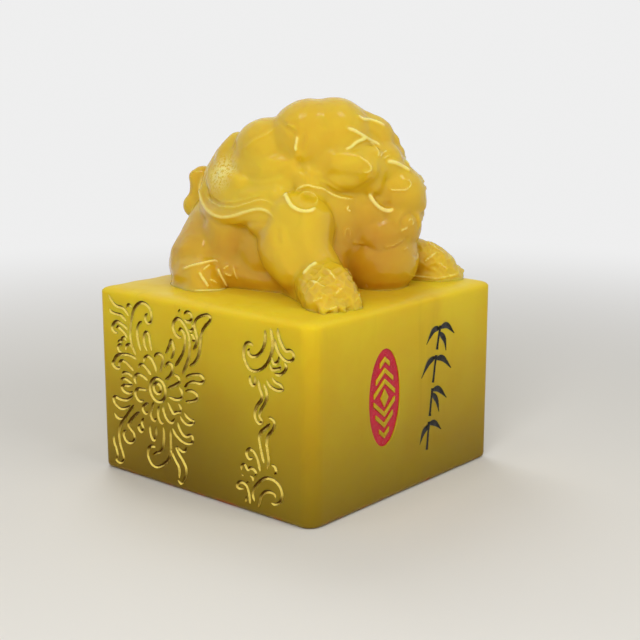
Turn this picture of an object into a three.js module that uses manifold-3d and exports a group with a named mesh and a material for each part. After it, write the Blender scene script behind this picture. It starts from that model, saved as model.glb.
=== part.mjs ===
// Seal stamp: a carved and polished yellow stone. A square block carries the printing face on
// its underside and a crouching winged beast with its cub as the knob. A scroll of flowers and
// leaves is engraved in one side and filled with gold paint. An oval panel and an ink-filled
// bamboo sprig fill the next side.
// Millimetres, +Z up. The origin is the middle of the printing face.
import * as THREE from "three";
import { mergeVertices } from "three/addons/utils/BufferGeometryUtils.js";
import Module from "manifold-3d";

const wasm = await Module();
wasm.setup();
const WELD_DISTANCE = 1e-5;

// Block
const BLOCK_WIDTH = 75; // along X
const BLOCK_DEPTH = 75; // along Y
const BLOCK_HEIGHT = 50.5; // printing face to the seat of the knob
const UPRIGHT_RADIUS = 4; // rounding of the four upright edges
const UPRIGHT_STEPS = 5;
const FOOT_CHAMFER = 0.8;
const TOP_ROUND_HEIGHT = 1.6; // the soft top edge starts this far below the seat
const TOP_ROUND_INSET = 5; // and ends this far in from the side
const TOP_ROUND_STEPS = 4;
const TOP_CORNER_RADIUS = 1.5; // rounding of the corners at the seat

// Printing face
const PRINT_BORDER = 3.2; // plain rim left standing round the cut ground
const PRINT_DEPTH = 1.1; // depth of the cut ground
const FRET_LINE = 2.6; // width of one raised line of the square spiral in each quarter
const FRET_MARGIN = 2.4; // cut ground left round each spiral

// Engraved lines and their paint
const GROOVE_WIDTH = 0.85;
const GROOVE_DEPTH = 0.6;
const PAINT_CLEARANCE = 0.06; // between the paint and each wall of its groove
const PAINT_RECESS = 0.08; // the paint lies this far below the stone
const CUTTER_LIFT = 0.4; // a pocket's cutter starts this far outside the stone
const LINE_TIP = 0.35; // width of a line's end as a share of its full width
const TIP_RISE = 0.6; // share of the depth that a line of no width would lose
const BEND_STEP = 40; // degrees that one straight piece of a line may turn
const BEND_SAMPLES = 8; // places between two drawn points where the bend is looked at
const RING_STEPS = 14;

// Oval panel
const OVAL_ACROSS = 27.8; // its centre from the left edge of its side
const OVAL_UP = 27.2; // and from the printing face
const OVAL_HALF_WIDTH = 6.3;
const OVAL_HALF_HEIGHT = 12.6;
const OVAL_DEPTH = 0.9;
const OVAL_STEPS = 36;
const RED_CLEARANCE = 0.05;
const RED_RECESS = 0.3; // the red ground lies this far below the stone
const BAR_LINE = 1.15; // upright width of the raised chevrons
const CHEVRON_SLOPE = 0.8; // fall of their arms
const CHEVRON_PITCH = 2.8; // from one to the next
const FIRST_TIP = 4.9; // tip of the innermost above the panel's centre
const PANEL_MARGIN = 1.6; // ground left between the chevrons and the oval's edge
const LOZENGE_HALF_WIDTH = 1.5;
const LOZENGE_HALF_HEIGHT = 2.3;

// The flat that the side drawings were made for, as places across and up from a side's lower
// left corner
const SHEET_LEFT = 4;
const SHEET_RIGHT = 71;
const SHEET_TOP = 48.9;

// Knob
const BODY_MIDDLE = 4.5; // the beast's middle plane along X
const FEWEST_SIDES = 6; // facets round the thinnest forms
const MOST_SIDES = 10; // and round the stoutest
const SIDES_PER_RADIUS = 0.42;
const RINGS_PER_SIDE = 0.6; // rings of a ball for each facet round it
const LIMB_STEP = 7; // length of one piece of a limb
const LIMB_SPOKE = new THREE.Vector3(0.31, 0.17, 0.94); // a direction that no limb runs along
const TOE_SWEEP = 0.12; // how far the outer toes lie back
const TOE_TAPER = 0.85;

// Sections of a limb's round end, as shares of its radius: the distance past the path's end
// and the section's own radius
const END_SECTIONS = [
  { past: 0.95, radius: 0.3 },
  { past: 0.6, radius: 0.8 },
];

const STONE = { color: 0xd8b428, roughness: 0.28, metalness: 0 };
const GOLD = { color: 0xe4cf6a, roughness: 0.4, metalness: 0.7 };
const RED = { color: 0xa51e32, roughness: 0.5, metalness: 0 };
const INK = { color: 0x16130f, roughness: 0.6, metalness: 0 };

// Flower on the left side: centre and half sizes of its rings, then its petals
const FLOWER_RINGS = {
  gold_flower_ring: { centre: [22.3, 25.6], half: [2.95, 3.1] },
  gold_flower_eye: { centre: [22.2, 26.0], half: [1.4, 1.4] },
};

const PETALS = [
  [[15.0, 30.0], [15.6, 31.1], [16.9, 31.4], [18.4, 30.5], [19.9, 29.2]],
  [[18.5, 27.5], [17.0, 28.2], [15.2, 28.6], [13.8, 28.0], [13.4, 26.7], [14.0, 25.7]],
  [[17.2, 32.2], [17.5, 33.3], [18.7, 34.1], [20.2, 33.5], [21.4, 31.9], [22.0, 30.2]],
  [[21.2, 34.2], [22.0, 35.0], [23.4, 35.4], [24.6, 34.6], [24.2, 32.6], [23.3, 30.4]],
  [[25.2, 32.0], [25.8, 33.0], [26.9, 33.6], [28.0, 33.0], [27.9, 31.4], [26.7, 29.8], [25.2, 28.9]],
  [[28.6, 30.9], [30.2, 30.4], [30.5, 29.2], [29.0, 28.1], [27.4, 27.3], [26.0, 26.7]],
  [[30.4, 27.7], [31.4, 26.7], [31.2, 25.2], [30.0, 24.5], [28.2, 24.3], [26.2, 24.6]],
  [[30.0, 23.3], [30.9, 22.3], [30.6, 21.2], [29.2, 20.9], [28.0, 20.4], [26.9, 21.6], [25.9, 23.0]],
  [[24.2, 21.8], [24.3, 20.3], [25.2, 18.6], [26.4, 17.8], [27.6, 18.0], [28.4, 19.2]],
  [[22.7, 21.5], [22.2, 19.6], [22.4, 17.9], [23.3, 16.9], [24.3, 17.2]],
  [[20.6, 22.0], [19.8, 20.2], [19.3, 18.5], [19.7, 17.4], [20.7, 17.0], [21.5, 17.9]],
  [[18.6, 21.4], [16.6, 20.2], [16.2, 19.2], [17.2, 18.3], [18.4, 18.9]],
  [[18.2, 24.7], [16.2, 24.7], [14.4, 24.4], [13.5, 23.3], [13.9, 22.0], [15.2, 21.3], [16.9, 21.8]],
];

const LEAVES = [
  [[4.0, 48.4], [5.3, 46.8], [7.1, 45.8], [9.4, 45.6], [10.9, 44.7], [11.8, 43.7]],
  [[4.1, 44.6], [4.9, 43.9], [7.3, 43.6], [8.9, 43.5], [10.8, 42.1]],
  [[14.2, 33.6], [13.1, 35.2], [12.5, 36.8], [12.2, 38.8], [12.5, 41.0], [12.9, 43.0], [14.0, 45.8],
    [15.8, 47.5], [17.8, 48.0], [19.8, 47.1], [20.7, 45.2], [20.4, 43.4], [19.2, 42.8], [18.3, 43.7],
    [18.5, 44.9], [19.3, 45.3]],
  [[17.0, 43.0], [15.8, 42.3], [15.0, 40.6], [15.1, 38.4], [15.5, 36.6], [16.2, 35.0]],
  [[18.7, 35.4], [17.8, 36.6], [17.5, 38.6], [18.0, 40.1], [18.8, 40.4], [19.5, 39.4], [19.9, 37.4],
    [20.4, 35.8]],
  [[7.3, 38.5], [5.9, 38.6], [5.0, 39.5], [5.8, 40.9], [7.1, 41.6], [8.9, 41.2], [10.3, 40.6],
    [11.3, 39.9]],
  [[6.6, 39.7], [7.5, 40.2], [8.8, 39.6], [9.9, 38.9], [11.0, 37.8]],
  [[14.4, 32.4], [13.2, 32.9], [11.2, 33.2], [8.6, 32.9], [6.4, 32.1], [5.3, 30.6], [4.7, 29.6],
    [6.0, 28.8], [7.3, 29.0], [7.5, 30.4], [8.5, 31.2], [10.0, 31.0], [11.8, 30.0], [13.1, 29.1]],
  [[8.3, 26.9], [8.8, 27.8], [10.4, 28.1], [11.8, 27.8], [12.6, 27.3]],
  [[7.7, 25.8], [9.2, 26.4], [10.8, 26.1], [12.2, 25.3], [10.8, 24.7], [9.0, 24.5], [8.1, 23.6],
    [9.2, 22.8], [11.0, 22.7], [12.5, 23.4]],
  [[25.6, 35.8], [26.2, 36.7], [27.0, 38.0], [27.8, 39.6], [28.5, 38.7], [28.8, 37.4], [28.4, 35.9],
    [27.6, 34.7]],
  [[29.0, 33.0], [30.4, 34.6], [31.9, 36.7], [32.8, 38.8], [33.1, 40.7], [32.6, 42.3], [31.4, 43.1],
    [30.6, 42.3]],
  [[31.9, 41.0], [30.8, 40.9], [29.5, 41.5], [28.7, 42.9], [29.0, 44.5], [30.1, 45.6], [31.4, 45.5],
    [32.7, 44.5], [33.8, 43.1], [34.5, 41.4], [34.6, 39.0], [34.3, 36.6], [33.4, 34.4], [32.4, 32.6],
    [31.6, 31.4]],
  [[34.4, 34.0], [36.0, 35.0], [37.5, 36.9], [38.3, 39.2], [38.6, 41.6], [39.2, 43.6], [40.4, 45.2],
    [41.8, 46.5], [42.2, 47.5], [41.2, 48.1], [39.2, 47.6], [37.4, 46.6], [36.5, 45.0], [36.9, 43.2],
    [37.4, 41.4], [36.8, 39.6], [35.8, 38.4]],
  [[32.8, 30.8], [34.2, 31.5], [36.0, 32.1], [38.4, 32.3], [39.4, 31.2], [38.2, 30.2], [35.8, 30.1],
    [34.0, 29.5], [32.2, 28.0]],
  [[32.6, 27.1], [33.8, 27.5], [35.4, 27.6], [36.9, 26.9], [36.8, 25.8], [35.0, 24.9], [32.5, 24.3]],
  [[32.0, 21.3], [32.9, 20.5], [34.2, 20.0], [35.6, 19.7], [34.4, 18.7], [32.6, 18.5], [31.2, 19.3],
    [30.5, 20.1]],
  [[29.5, 18.3], [30.1, 16.9], [31.1, 15.6], [32.5, 15.1], [34.4, 15.8], [35.1, 14.7], [34.6, 13.8],
    [32.9, 13.3], [30.8, 13.6], [28.8, 14.7], [27.5, 16.2]],
  [[32.6, 12.3], [32.2, 11.3], [31.0, 10.8], [28.9, 11.4], [29.6, 10.0], [31.3, 8.2], [32.3, 6.6],
    [32.2, 4.8], [31.4, 3.2], [30.8, 2.3]],
  [[23.9, 15.9], [24.2, 14.6], [24.1, 12.2], [23.6, 10.2], [22.4, 8.8], [21.0, 8.2], [19.8, 7.4]],
  [[26.7, 15.6], [26.8, 13.6], [26.7, 10.2], [25.8, 7.6], [24.2, 6.0], [22.2, 4.8], [20.2, 4.3],
    [18.7, 5.1], [17.8, 6.8], [18.0, 8.7], [19.3, 9.8], [20.8, 9.7]],
  [[12.6, 22.3], [11.4, 21.4], [9.8, 20.6], [7.4, 20.4], [5.4, 20.7], [4.5, 19.9], [5.4, 18.5],
    [7.4, 17.8], [9.8, 18.4], [11.4, 19.3]],
  [[12.8, 19.8], [10.9, 17.7], [9.0, 15.5], [7.2, 13.3], [6.4, 11.2], [6.4, 9.2], [6.9, 7.0],
    [7.8, 5.0], [7.9, 3.5], [6.6, 2.4], [4.9, 2.7], [5.5, 4.2], [5.0, 6.0], [4.2, 7.8], [4.1, 9.8]],
  [[15.0, 18.3], [13.4, 17.2], [11.6, 15.6], [10.2, 13.9], [10.9, 12.9], [12.3, 11.9], [12.6, 10.4],
    [11.4, 9.1], [9.5, 8.9], [8.3, 10.2], [8.5, 11.6], [9.5, 11.9]],
  [[18.9, 15.6], [18.9, 13.6], [19.5, 12.0], [20.3, 11.6], [21.1, 13.0], [21.4, 15.6]],
];

const VINE_LINES = [
  [[60.5, 47.2], [60.5, 45.0], [59.9, 42.8], [58.4, 40.9], [56.8, 40.1], [55.4, 40.2], [54.9, 41.2],
    [55.5, 41.8]],
  [[62.2, 47.8], [62.8, 45.6], [62.9, 43.4], [62.2, 41.0], [60.6, 38.6], [58.6, 37.1], [56.6, 36.5],
    [54.9, 37.0], [53.7, 38.8], [53.4, 40.8], [54.0, 42.6], [55.2, 43.2], [56.6, 42.7]],
  [[64.5, 48.2], [64.8, 46.4], [65.7, 44.6], [66.9, 43.2], [68.4, 43.4], [69.5, 42.6], [69.2, 41.3],
    [67.6, 40.7], [66.0, 41.2], [64.6, 42.6], [63.9, 44.1], [63.7, 45.4]],
  [[60.8, 35.0], [61.4, 34.1], [62.6, 33.4], [64.4, 33.1], [66.0, 33.6], [65.2, 34.6], [63.6, 35.0],
    [62.5, 35.9]],
  [[55.4, 35.3], [55.4, 34.0], [56.0, 32.9], [56.8, 33.0], [57.1, 34.0], [57.0, 35.3]],
  [[58.1, 34.6], [58.5, 32.8], [59.3, 31.0], [59.0, 29.6], [57.7, 28.1], [56.9, 26.2], [57.1, 24.6],
    [58.2, 23.7], [59.2, 24.4], [58.4, 25.6], [58.9, 27.2], [60.1, 29.0], [60.9, 30.8], [60.7, 32.4],
    [59.9, 33.8]],
  [[61.9, 24.4], [60.4, 23.0], [58.9, 21.8], [58.2, 20.2], [58.5, 18.2], [59.1, 16.0], [59.7, 14.0]],
  [[61.2, 25.8], [62.3, 25.7], [63.3, 24.8], [62.6, 22.9], [61.2, 21.2], [60.7, 19.2], [61.0, 17.0],
    [61.3, 14.8], [60.7, 12.6]],
  [[56.3, 14.6], [54.6, 14.1], [53.9, 15.3], [54.9, 16.6], [56.5, 16.0], [57.7, 14.2], [58.4, 11.6]],
  [[51.9, 10.4], [52.3, 11.8], [53.3, 12.2], [54.1, 11.1], [55.0, 11.7], [56.2, 11.7], [57.1, 10.8],
    [56.5, 10.0]],
  [[52.8, 5.7], [50.6, 5.8], [51.2, 7.1], [52.7, 7.4], [54.0, 6.5], [54.7, 4.6], [54.9, 2.4]],
  [[56.4, 3.4], [55.9, 5.2], [56.6, 7.2], [58.4, 9.2], [60.6, 10.4], [63.0, 10.4], [64.9, 9.2],
    [65.6, 7.2], [64.8, 5.2], [63.0, 4.3], [61.8, 4.5]],
  [[57.6, 2.2], [58.2, 3.8], [58.7, 5.3], [59.9, 6.6], [61.6, 7.1], [63.1, 6.8], [63.4, 5.9]],
];

// Bamboo sprig on the right side: each joint of the stem with the leaves that grow from it
const BAMBOO_JOINTS = [
  {
    stem: [[46.2, 9.0], [46.6, 13.0], [47.0, 16.6]],
    leaves: [[[46.8, 16.1], [49.6, 15.6], [52.6, 13.2]], [[47.1, 15.7], [44.6, 14.2], [43.0, 11.2]]],
  },
  {
    stem: [[47.2, 18.0], [47.7, 22.0], [48.2, 25.4]],
    leaves: [[[47.9, 24.9], [51.0, 24.6], [54.8, 21.4]], [[47.8, 24.2], [50.2, 21.8], [51.4, 18.2]]],
  },
  {
    stem: [[48.4, 26.8], [49.0, 30.6], [49.6, 34.0]],
    leaves: [[[49.7, 33.6], [46.4, 32.6], [43.2, 29.0]], [[49.2, 33.1], [52.6, 32.6], [56.6, 29.2]]],
  },
  {
    stem: [[49.9, 35.4], [50.5, 38.6], [51.3, 41.6]],
    leaves: [
      [[50.9, 41.0], [54.2, 41.2], [57.8, 38.4]],
      [[51.3, 40.9], [48.2, 40.8], [45.2, 37.6]],
      [[50.7, 40.0], [53.2, 37.6], [54.0, 34.4]],
    ],
  },
];

// Forms of the beast. Heights are above the seat. A ball has its centre and half sizes, a limb
// its path with a radius at each point. mirrored repeats a form across the body's middle plane.
const FORMS = {
  back: { centre: [1.5, 10.5, 24], half: [14, 16, 15] },
  trunk: { path: [[4.5, 20, 12.5, 12.5], [4.5, 8, 14.5, 13.5], [4.5, -4, 15.5, 13]] },
  belly: { path: [[4.5, 14, 4.5, 9], [4.5, -8, 4.5, 9]] },
  rump: { path: [[-9, 17, 5, 9.5], [18, 17, 5, 9.5]] },
  chest: { centre: [4.5, -9, 15.5], half: [12, 11, 14] },
  flank: { centre: [-5, 3, 14.6], half: [9.9, 14, 12.4], mirrored: true },
  haunch: { path: [[-5, 25, 16.5, 7], [-9, 21.5, 9.5, 10.3], [-13.6, 20, 4.5, 11.2]], mirrored: true },
  hind_foot: { path: [[-14, 27, 3, 5], [-19.5, 20, 3.4, 5.8], [-21.5, 14, 3, 5.4]], mirrored: true },
  hind_foot_base: { path: [[-19.5, 20, 0, 6], [-21.8, 13.2, 0, 5.6]], mirrored: true },
  wing_edge: {
    path: [
      [-14, -8.5, 17.5, 2.2], [-15, -1.5, 18.2, 2.6], [-16, 6, 17.2, 2.9], [-15.4, 14, 17.2, 3],
      [-12.2, 20.7, 20.2, 2.8], [-9, 23.4, 25.5, 2.6], [-5.2, 24.2, 30.8, 2.4], [-1, 22.8, 35.4, 2.2],
      [3, 20, 38.4, 2],
    ],
    mirrored: true,
  },
  wing_band: {
    path: [[-13.5, -8, 20.5, 2], [-14, -2, 21.3, 2.9], [-14.4, 4.5, 21, 3.2], [-13.2, 11, 22, 3.4],
      [-9.5, 16, 25, 3.2]],
    mirrored: true,
  },
  tail: { path: [[4, 32, 2.5, 4], [1, 33, 9.5, 4.2], [-3, 32, 16.5, 4], [-5, 31, 22.5, 3.6],
    [-4.6, 30.6, 27, 3]] },
  tail_tuft_upper: { centre: [-6, 31.4, 26.6], half: [2.6, 2.6, 2.6] },
  tail_tuft_lower: { centre: [-7.4, 32, 18.8], half: [3, 3, 3.4] },
  near_shoulder: { centre: [-10, -8, 19], half: [7, 8, 7] },
  near_upper_arm: { path: [[-8.5, -7, 18, 8], [-12.5, -7.6, 12, 7.9], [-13.3, -12.5, 7, 7]] },
  near_forearm: { path: [[-9, -11, 17.5, 7.8], [-11.5, -14, 11.5, 6.5], [-12.5, -19.5, 6, 6]] },
  near_paw: { path: [[-12, -18, 5.5, 6], [-14, -25, 4.5, 6.2], [-15, -28.5, 3.5, 5.5]] },
  near_leg_base: { path: [[-9.5, -9, 0, 5], [-12.5, -19, 0, 6.2], [-14.2, -26, 0, 6.4]] },
  far_shoulder: { centre: [20, -6, 18.5], half: [7, 8, 7] },
  far_foreleg: { path: [[18, -6, 16.5, 8], [21, -12, 11.5, 7], [25, -17, 6.5, 6]] },
  far_paw: { path: [[26, -17, 5.5, 5.8], [28.5, -23, 5.3, 5.6], [31, -26.5, 4.2, 4.9]] },
  far_leg_base: { path: [[25.5, -16, 0, 5.6], [29.5, -24, 0, 5.6], [31.2, -27.2, 0, 4.8]] },
  skull: { centre: [11, -14, 20], half: [9, 8, 8] },
  cheek: { centre: [9, -15, 17], half: [9, 9, 10] },
  forehead: { centre: [16, -21.5, 24], half: [7.4, 7.4, 7.4] },
  brow: { path: [[11.5, -21, 29.6, 2.2], [15, -22.6, 30.2, 2.6], [19, -23.5, 28, 2.4]] },
  bridge: { centre: [18, -23.8, 22], half: [4.6, 4.6, 6] },
  eye: { centre: [9, -22.8, 23.2], half: [2.6, 2.6, 2.4] },
  far_eye: { centre: [20.5, -19.5, 24], half: [3, 3, 2.8] },
  muzzle: { centre: [14, -21, 15.5], half: [8, 8, 8] },
  nose: { centre: [15.5, -26, 17], half: [3.2, 3.2, 3.4] },
  upper_lip: { centre: [9.5, -20, 13.5], half: [8, 7.5, 6.5] },
  jaw: { centre: [11.5, -19.3, 6.4], half: [11, 9.5, 6.6] },
  jaw_base: { centre: [11, -17.5, 0], half: [9, 8, 3] },
  cub_rump: { centre: [-4, 6, 35], half: [9, 10, 9] },
  cub_back: { centre: [5.5, 6, 36.5], half: [9, 9, 8.5] },
  cub_crown: { centre: [1.5, -3.5, 38], half: [11, 11, 11] },
  cub_forehead: { centre: [6, -7.5, 38.2], half: [11, 11, 11] },
  cub_cheek: { centre: [2, -10.5, 32.5], half: [7.5, 7.5, 7] },
  cub_snout: { path: [[7, -8, 40, 8.4], [13.6, -14.2, 38.4, 6.4]] },
  cub_upper_lip: { centre: [18, -18, 38], half: [1.7, 1.7, 1.7] },
  cub_lower_lip: { centre: [18.5, -18.5, 35], half: [2, 2, 2] },
  cub_chin: { centre: [16, -17.5, 33.5], half: [4.5, 4.5, 4] },
  cub_paw: { path: [[5, -18, 34.5, 2.8], [4, -20.5, 31.5, 3.2], [4, -18.5, 28.5, 2.6]] },
  cub_ear: { path: [[-5.5, -6, 39, 1.4], [-7.2, -7, 36, 2.2], [-6, -7, 33.5, 1.6]] },
};

// Toes of each paw: centre of the row, its direction, the pitch and size of its toes
const PAWS = [
  { root: [-14.6, -28, 4], tip: [-16, -32.4, 2.2], pitch: 3.1, toes: 4, radius: 2.1 },
  { root: [30.1, -26, 4.8], tip: [32, -30.8, 2.4], pitch: 2.7, toes: 4, radius: 1.9 },
  { root: [-21.4, 14, 3.8], tip: [-22.4, 9.2, 2.4], pitch: 4, toes: 3, radius: 2.4 },
  { root: [30.4, 14, 3.8], tip: [31.4, 9.2, 2.4], pitch: 4, toes: 3, radius: 2.4 },
];

// Shoulder curl: a raised flat spiral that ends the wing's root
const CURL = { centre: [-15.2, -12.2, 19.4], outward: [-0.76, -0.62, 0.2], start: 4.6, end: 0.9 };
const CURL_TURNS = 1.4;
const CURL_POINTS = 9;
const CURL_RADIUS = 1.3;
const CURL_STEP = 3.2;

// Mouth: a cut that runs round the muzzle between the lips
const MOUTH = [[-1, -16, 12, 0.8], [3.5, -25.5, 11.2, 0.9], [10, -30.6, 11.6, 0.9],
  [17.5, -29.5, 13, 0.8]];

function solidFrom(geometry) {
  geometry.deleteAttribute("normal");
  geometry.deleteAttribute("uv");
  const merged = mergeVertices(geometry, WELD_DISTANCE);
  const vertProperties = new Float32Array(merged.attributes.position.array);
  const triVerts = new Uint32Array(merged.index.array);
  return new wasm.Manifold(new wasm.Mesh({ numProp: 3, vertProperties, triVerts }));
}

function geometryFrom(solid) {
  const mesh = solid.getMesh();
  const geometry = new THREE.BufferGeometry();
  geometry.setAttribute("position", new THREE.BufferAttribute(new Float32Array(mesh.vertProperties), 3));
  geometry.setIndex(new THREE.BufferAttribute(new Uint32Array(mesh.triVerts), 1));
  return geometry;
}

// Closed solid through a row of rings with the same number of points, each counterclockwise
// about the way the row runs. An endless row joins its last ring to its first.
function loft(rings, endless = false) {
  const sides = rings[0].length;
  const count = rings.length * sides;
  const positions = rings.flat().flatMap((point) => [point.x, point.y, point.z]);
  const index = [];
  for (let ring = 0; ring + (endless ? 0 : 1) < rings.length; ring += 1) {
    for (let side = 0; side < sides; side += 1) {
      const a = ring * sides + side;
      const b = ring * sides + ((side + 1) % sides);
      const c = (a + sides) % count;
      const d = (b + sides) % count;
      index.push(a, b, c, b, d, c);
    }
  }
  if (!endless) {
    const last = count - sides;
    for (let side = 1; side + 1 < sides; side += 1) {
      index.push(0, side + 1, side, last, last + side, last + side + 1);
    }
  }
  const geometry = new THREE.BufferGeometry();
  geometry.setAttribute("position", new THREE.Float32BufferAttribute(positions, 3));
  geometry.setIndex(index);
  return solidFrom(geometry);
}

function boxSolid(width, depth, height, x, y, z) {
  const geometry = new THREE.BoxGeometry(width, depth, height);
  geometry.translate(x, y, z);
  return solidFrom(geometry);
}

function joinAll(solids) {
  return solids.reduce((joined, solid) => joined.add(solid));
}

// Rounded rectangle, counterclockwise, as points at one height
function roundedRing(halfX, halfY, radius, steps, z) {
  const points = [];
  for (let corner = 0; corner < 4; corner += 1) {
    const signX = corner === 0 || corner === 3 ? 1 : -1;
    const signY = corner < 2 ? 1 : -1;
    for (let step = 0; step <= steps; step += 1) {
      const angle = ((corner + step / steps) * Math.PI) / 2;
      const x = signX * (halfX - radius) + radius * Math.cos(angle);
      const y = signY * (halfY - radius) + radius * Math.sin(angle);
      points.push(new THREE.Vector3(x, y, z));
    }
  }
  return points;
}

function blockRing(inset, z) {
  const radius = THREE.MathUtils.lerp(UPRIGHT_RADIUS, TOP_CORNER_RADIUS, inset / TOP_ROUND_INSET);
  return roundedRing(BLOCK_WIDTH / 2 - inset, BLOCK_DEPTH / 2 - inset, radius, UPRIGHT_STEPS, z);
}

function blockBlank() {
  const rings = [blockRing(FOOT_CHAMFER, 0), blockRing(0, FOOT_CHAMFER)];
  for (let step = 0; step <= TOP_ROUND_STEPS; step += 1) {
    const angle = ((step / TOP_ROUND_STEPS) * Math.PI) / 2;
    const inset = TOP_ROUND_INSET * (1 - Math.cos(angle));
    const z = BLOCK_HEIGHT - TOP_ROUND_HEIGHT * (1 - Math.sin(angle));
    rings.push(blockRing(inset, z));
  }
  return loft(rings);
}

// Corners of a square spiral of five runs in units of its pitch, from the middle outwards
const FRET_PATH = [[0, 0], [1, 0], [1, -2], [-2, -2], [-2, 2], [3, 2]];
const FRET_SPAN = [5, 4];
const FRET_MIDDLE = [0.5, 0];

// The cut ground of the printing face: a pocket with a square spiral left standing in each
// quarter
function printGround() {
  const quarter = [BLOCK_WIDTH / 2 - PRINT_BORDER, BLOCK_DEPTH / 2 - PRINT_BORDER];
  const pitch = quarter.map((size, axis) => (size - 2 * FRET_MARGIN - FRET_LINE) / FRET_SPAN[axis]);
  const place = (corner, axis) => quarter[axis] / 2 + (corner[axis] - FRET_MIDDLE[axis]) * pitch[axis];
  let ground = loft([
    roundedRing(...quarter, UPRIGHT_RADIUS, UPRIGHT_STEPS, -CUTTER_LIFT),
    roundedRing(...quarter, UPRIGHT_RADIUS, UPRIGHT_STEPS, PRINT_DEPTH),
  ]);
  const height = PRINT_DEPTH + 3 * CUTTER_LIFT;
  for (let run = 1; run < FRET_PATH.length; run += 1) {
    const [fromX, fromY] = [place(FRET_PATH[run - 1], 0), place(FRET_PATH[run - 1], 1)];
    const [toX, toY] = [place(FRET_PATH[run], 0), place(FRET_PATH[run], 1)];
    const width = Math.abs(toX - fromX) + FRET_LINE;
    const depth = Math.abs(toY - fromY) + FRET_LINE;
    for (const signX of [-1, 1]) {
      for (const signY of [-1, 1]) {
        const x = (signX * (fromX + toX)) / 2;
        const y = (signY * (fromY + toY)) / 2;
        ground = ground.subtract(boxSolid(width, depth, height, x, y, height / 2 - 2 * CUTTER_LIFT));
      }
    }
  }
  return ground;
}

// Side drawings. A side turns sheet points into block points: across runs left to right seen
// from outside, out is the distance from the stone's surface. The drawings stay on the flat
// between the upright roundings and below the top one.
function alongSide(across, length) {
  const share = (across - SHEET_LEFT) / (SHEET_RIGHT - SHEET_LEFT);
  return THREE.MathUtils.lerp(UPRIGHT_RADIUS, length - UPRIGHT_RADIUS, share) - length / 2;
}

function upSide(up) {
  return (up / SHEET_TOP) * (BLOCK_HEIGHT - TOP_ROUND_HEIGHT);
}

function leftSide(across, up, out) {
  return new THREE.Vector3(-BLOCK_WIDTH / 2 - out, -alongSide(across, BLOCK_DEPTH), upSide(up));
}

function rightSide(across, up, out) {
  return new THREE.Vector3(alongSide(across, BLOCK_WIDTH), -BLOCK_DEPTH / 2 - out, upSide(up));
}

// Stations along a drawn line, closer together where it bends. Its two end pieces taper.
function linePoints(controls) {
  const curve = new THREE.SplineCurve(controls.map(([across, up]) => new THREE.Vector2(across, up)));
  const samples = (controls.length - 1) * BEND_SAMPLES;
  const taper = BEND_SAMPLES / 2;
  const stops = [0, taper];
  let turned = 0;
  for (let sample = taper + 1; sample < samples - taper; sample += 1) {
    const before = curve.getTangent((sample - 1) / samples);
    turned += THREE.MathUtils.radToDeg(before.angleTo(curve.getTangent(sample / samples)));
    if (turned > BEND_STEP) {
      stops.push(sample);
      turned = 0;
    }
  }
  stops.push(samples - taper, samples);
  return stops.map((stop) => {
    const along = curve.getTangent(stop / samples);
    const swell = stop === 0 || stop === samples ? LINE_TIP : 1;
    return { middle: curve.getPoint(stop / samples), across: new THREE.Vector2(-along.y, along.x), swell };
  });
}

// V-shaped section of a groove at full swell, or a narrower and shallower one near an end
function grooveSection(swell) {
  return { half: (GROOVE_WIDTH / 2) * swell, depth: GROOVE_DEPTH * (1 - TIP_RISE * (1 - swell)) };
}

// The cutter's section starts level with the stone, the paint's lies inside the groove
function cutterSection({ half, depth }) {
  return { half, top: 0, bottom: -depth };
}

function paintSection({ half, depth }) {
  const bottom = PAINT_CLEARANCE * (depth / half) - depth;
  return { half: half * (1 - PAINT_RECESS / depth) - PAINT_CLEARANCE, top: -PAINT_RECESS, bottom };
}

function wedge(side, controls, sectionOf) {
  const rings = linePoints(controls).map(({ middle, across, swell }) => {
    const { half, top, bottom } = sectionOf(grooveSection(swell));
    const left = middle.clone().addScaledVector(across, half);
    const right = middle.clone().addScaledVector(across, -half);
    return [side(left.x, left.y, top), side(right.x, right.y, top), side(middle.x, middle.y, bottom)];
  });
  return loft(rings);
}

// The same wedge run endlessly round an oval
function ringWedge(side, { centre, half: oval }, sectionOf) {
  const { half, top, bottom } = sectionOf(grooveSection(1));
  const rings = [];
  for (let step = 0; step < RING_STEPS; step += 1) {
    const angle = (step / RING_STEPS) * 2 * Math.PI;
    const at = (offset, out) => {
      const across = centre[0] + (oval[0] + offset) * Math.cos(angle);
      return side(across, centre[1] + (oval[1] + offset) * Math.sin(angle), out);
    };
    rings.push([at(-half, top), at(half, top), at(0, bottom)]);
  }
  return loft(rings, true);
}

// Oval panel: a shape extruded square to the right side
function panelSolid(shape, from, to) {
  const geometry = new THREE.ExtrudeGeometry(shape, { depth: to - from, bevelEnabled: false });
  geometry.translate(0, 0, from);
  geometry.rotateX(Math.PI / 2);
  const middle = rightSide(OVAL_ACROSS, OVAL_UP, 0);
  geometry.translate(middle.x, middle.y, middle.z);
  return solidFrom(geometry);
}

function ovalShape(offset) {
  const points = [];
  for (let step = 0; step < OVAL_STEPS; step += 1) {
    const angle = (step / OVAL_STEPS) * 2 * Math.PI;
    const x = (OVAL_HALF_WIDTH + offset) * Math.cos(angle);
    points.push(new THREE.Vector2(x, (OVAL_HALF_HEIGHT + offset) * Math.sin(angle)));
  }
  return new THREE.Shape(points);
}

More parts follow.
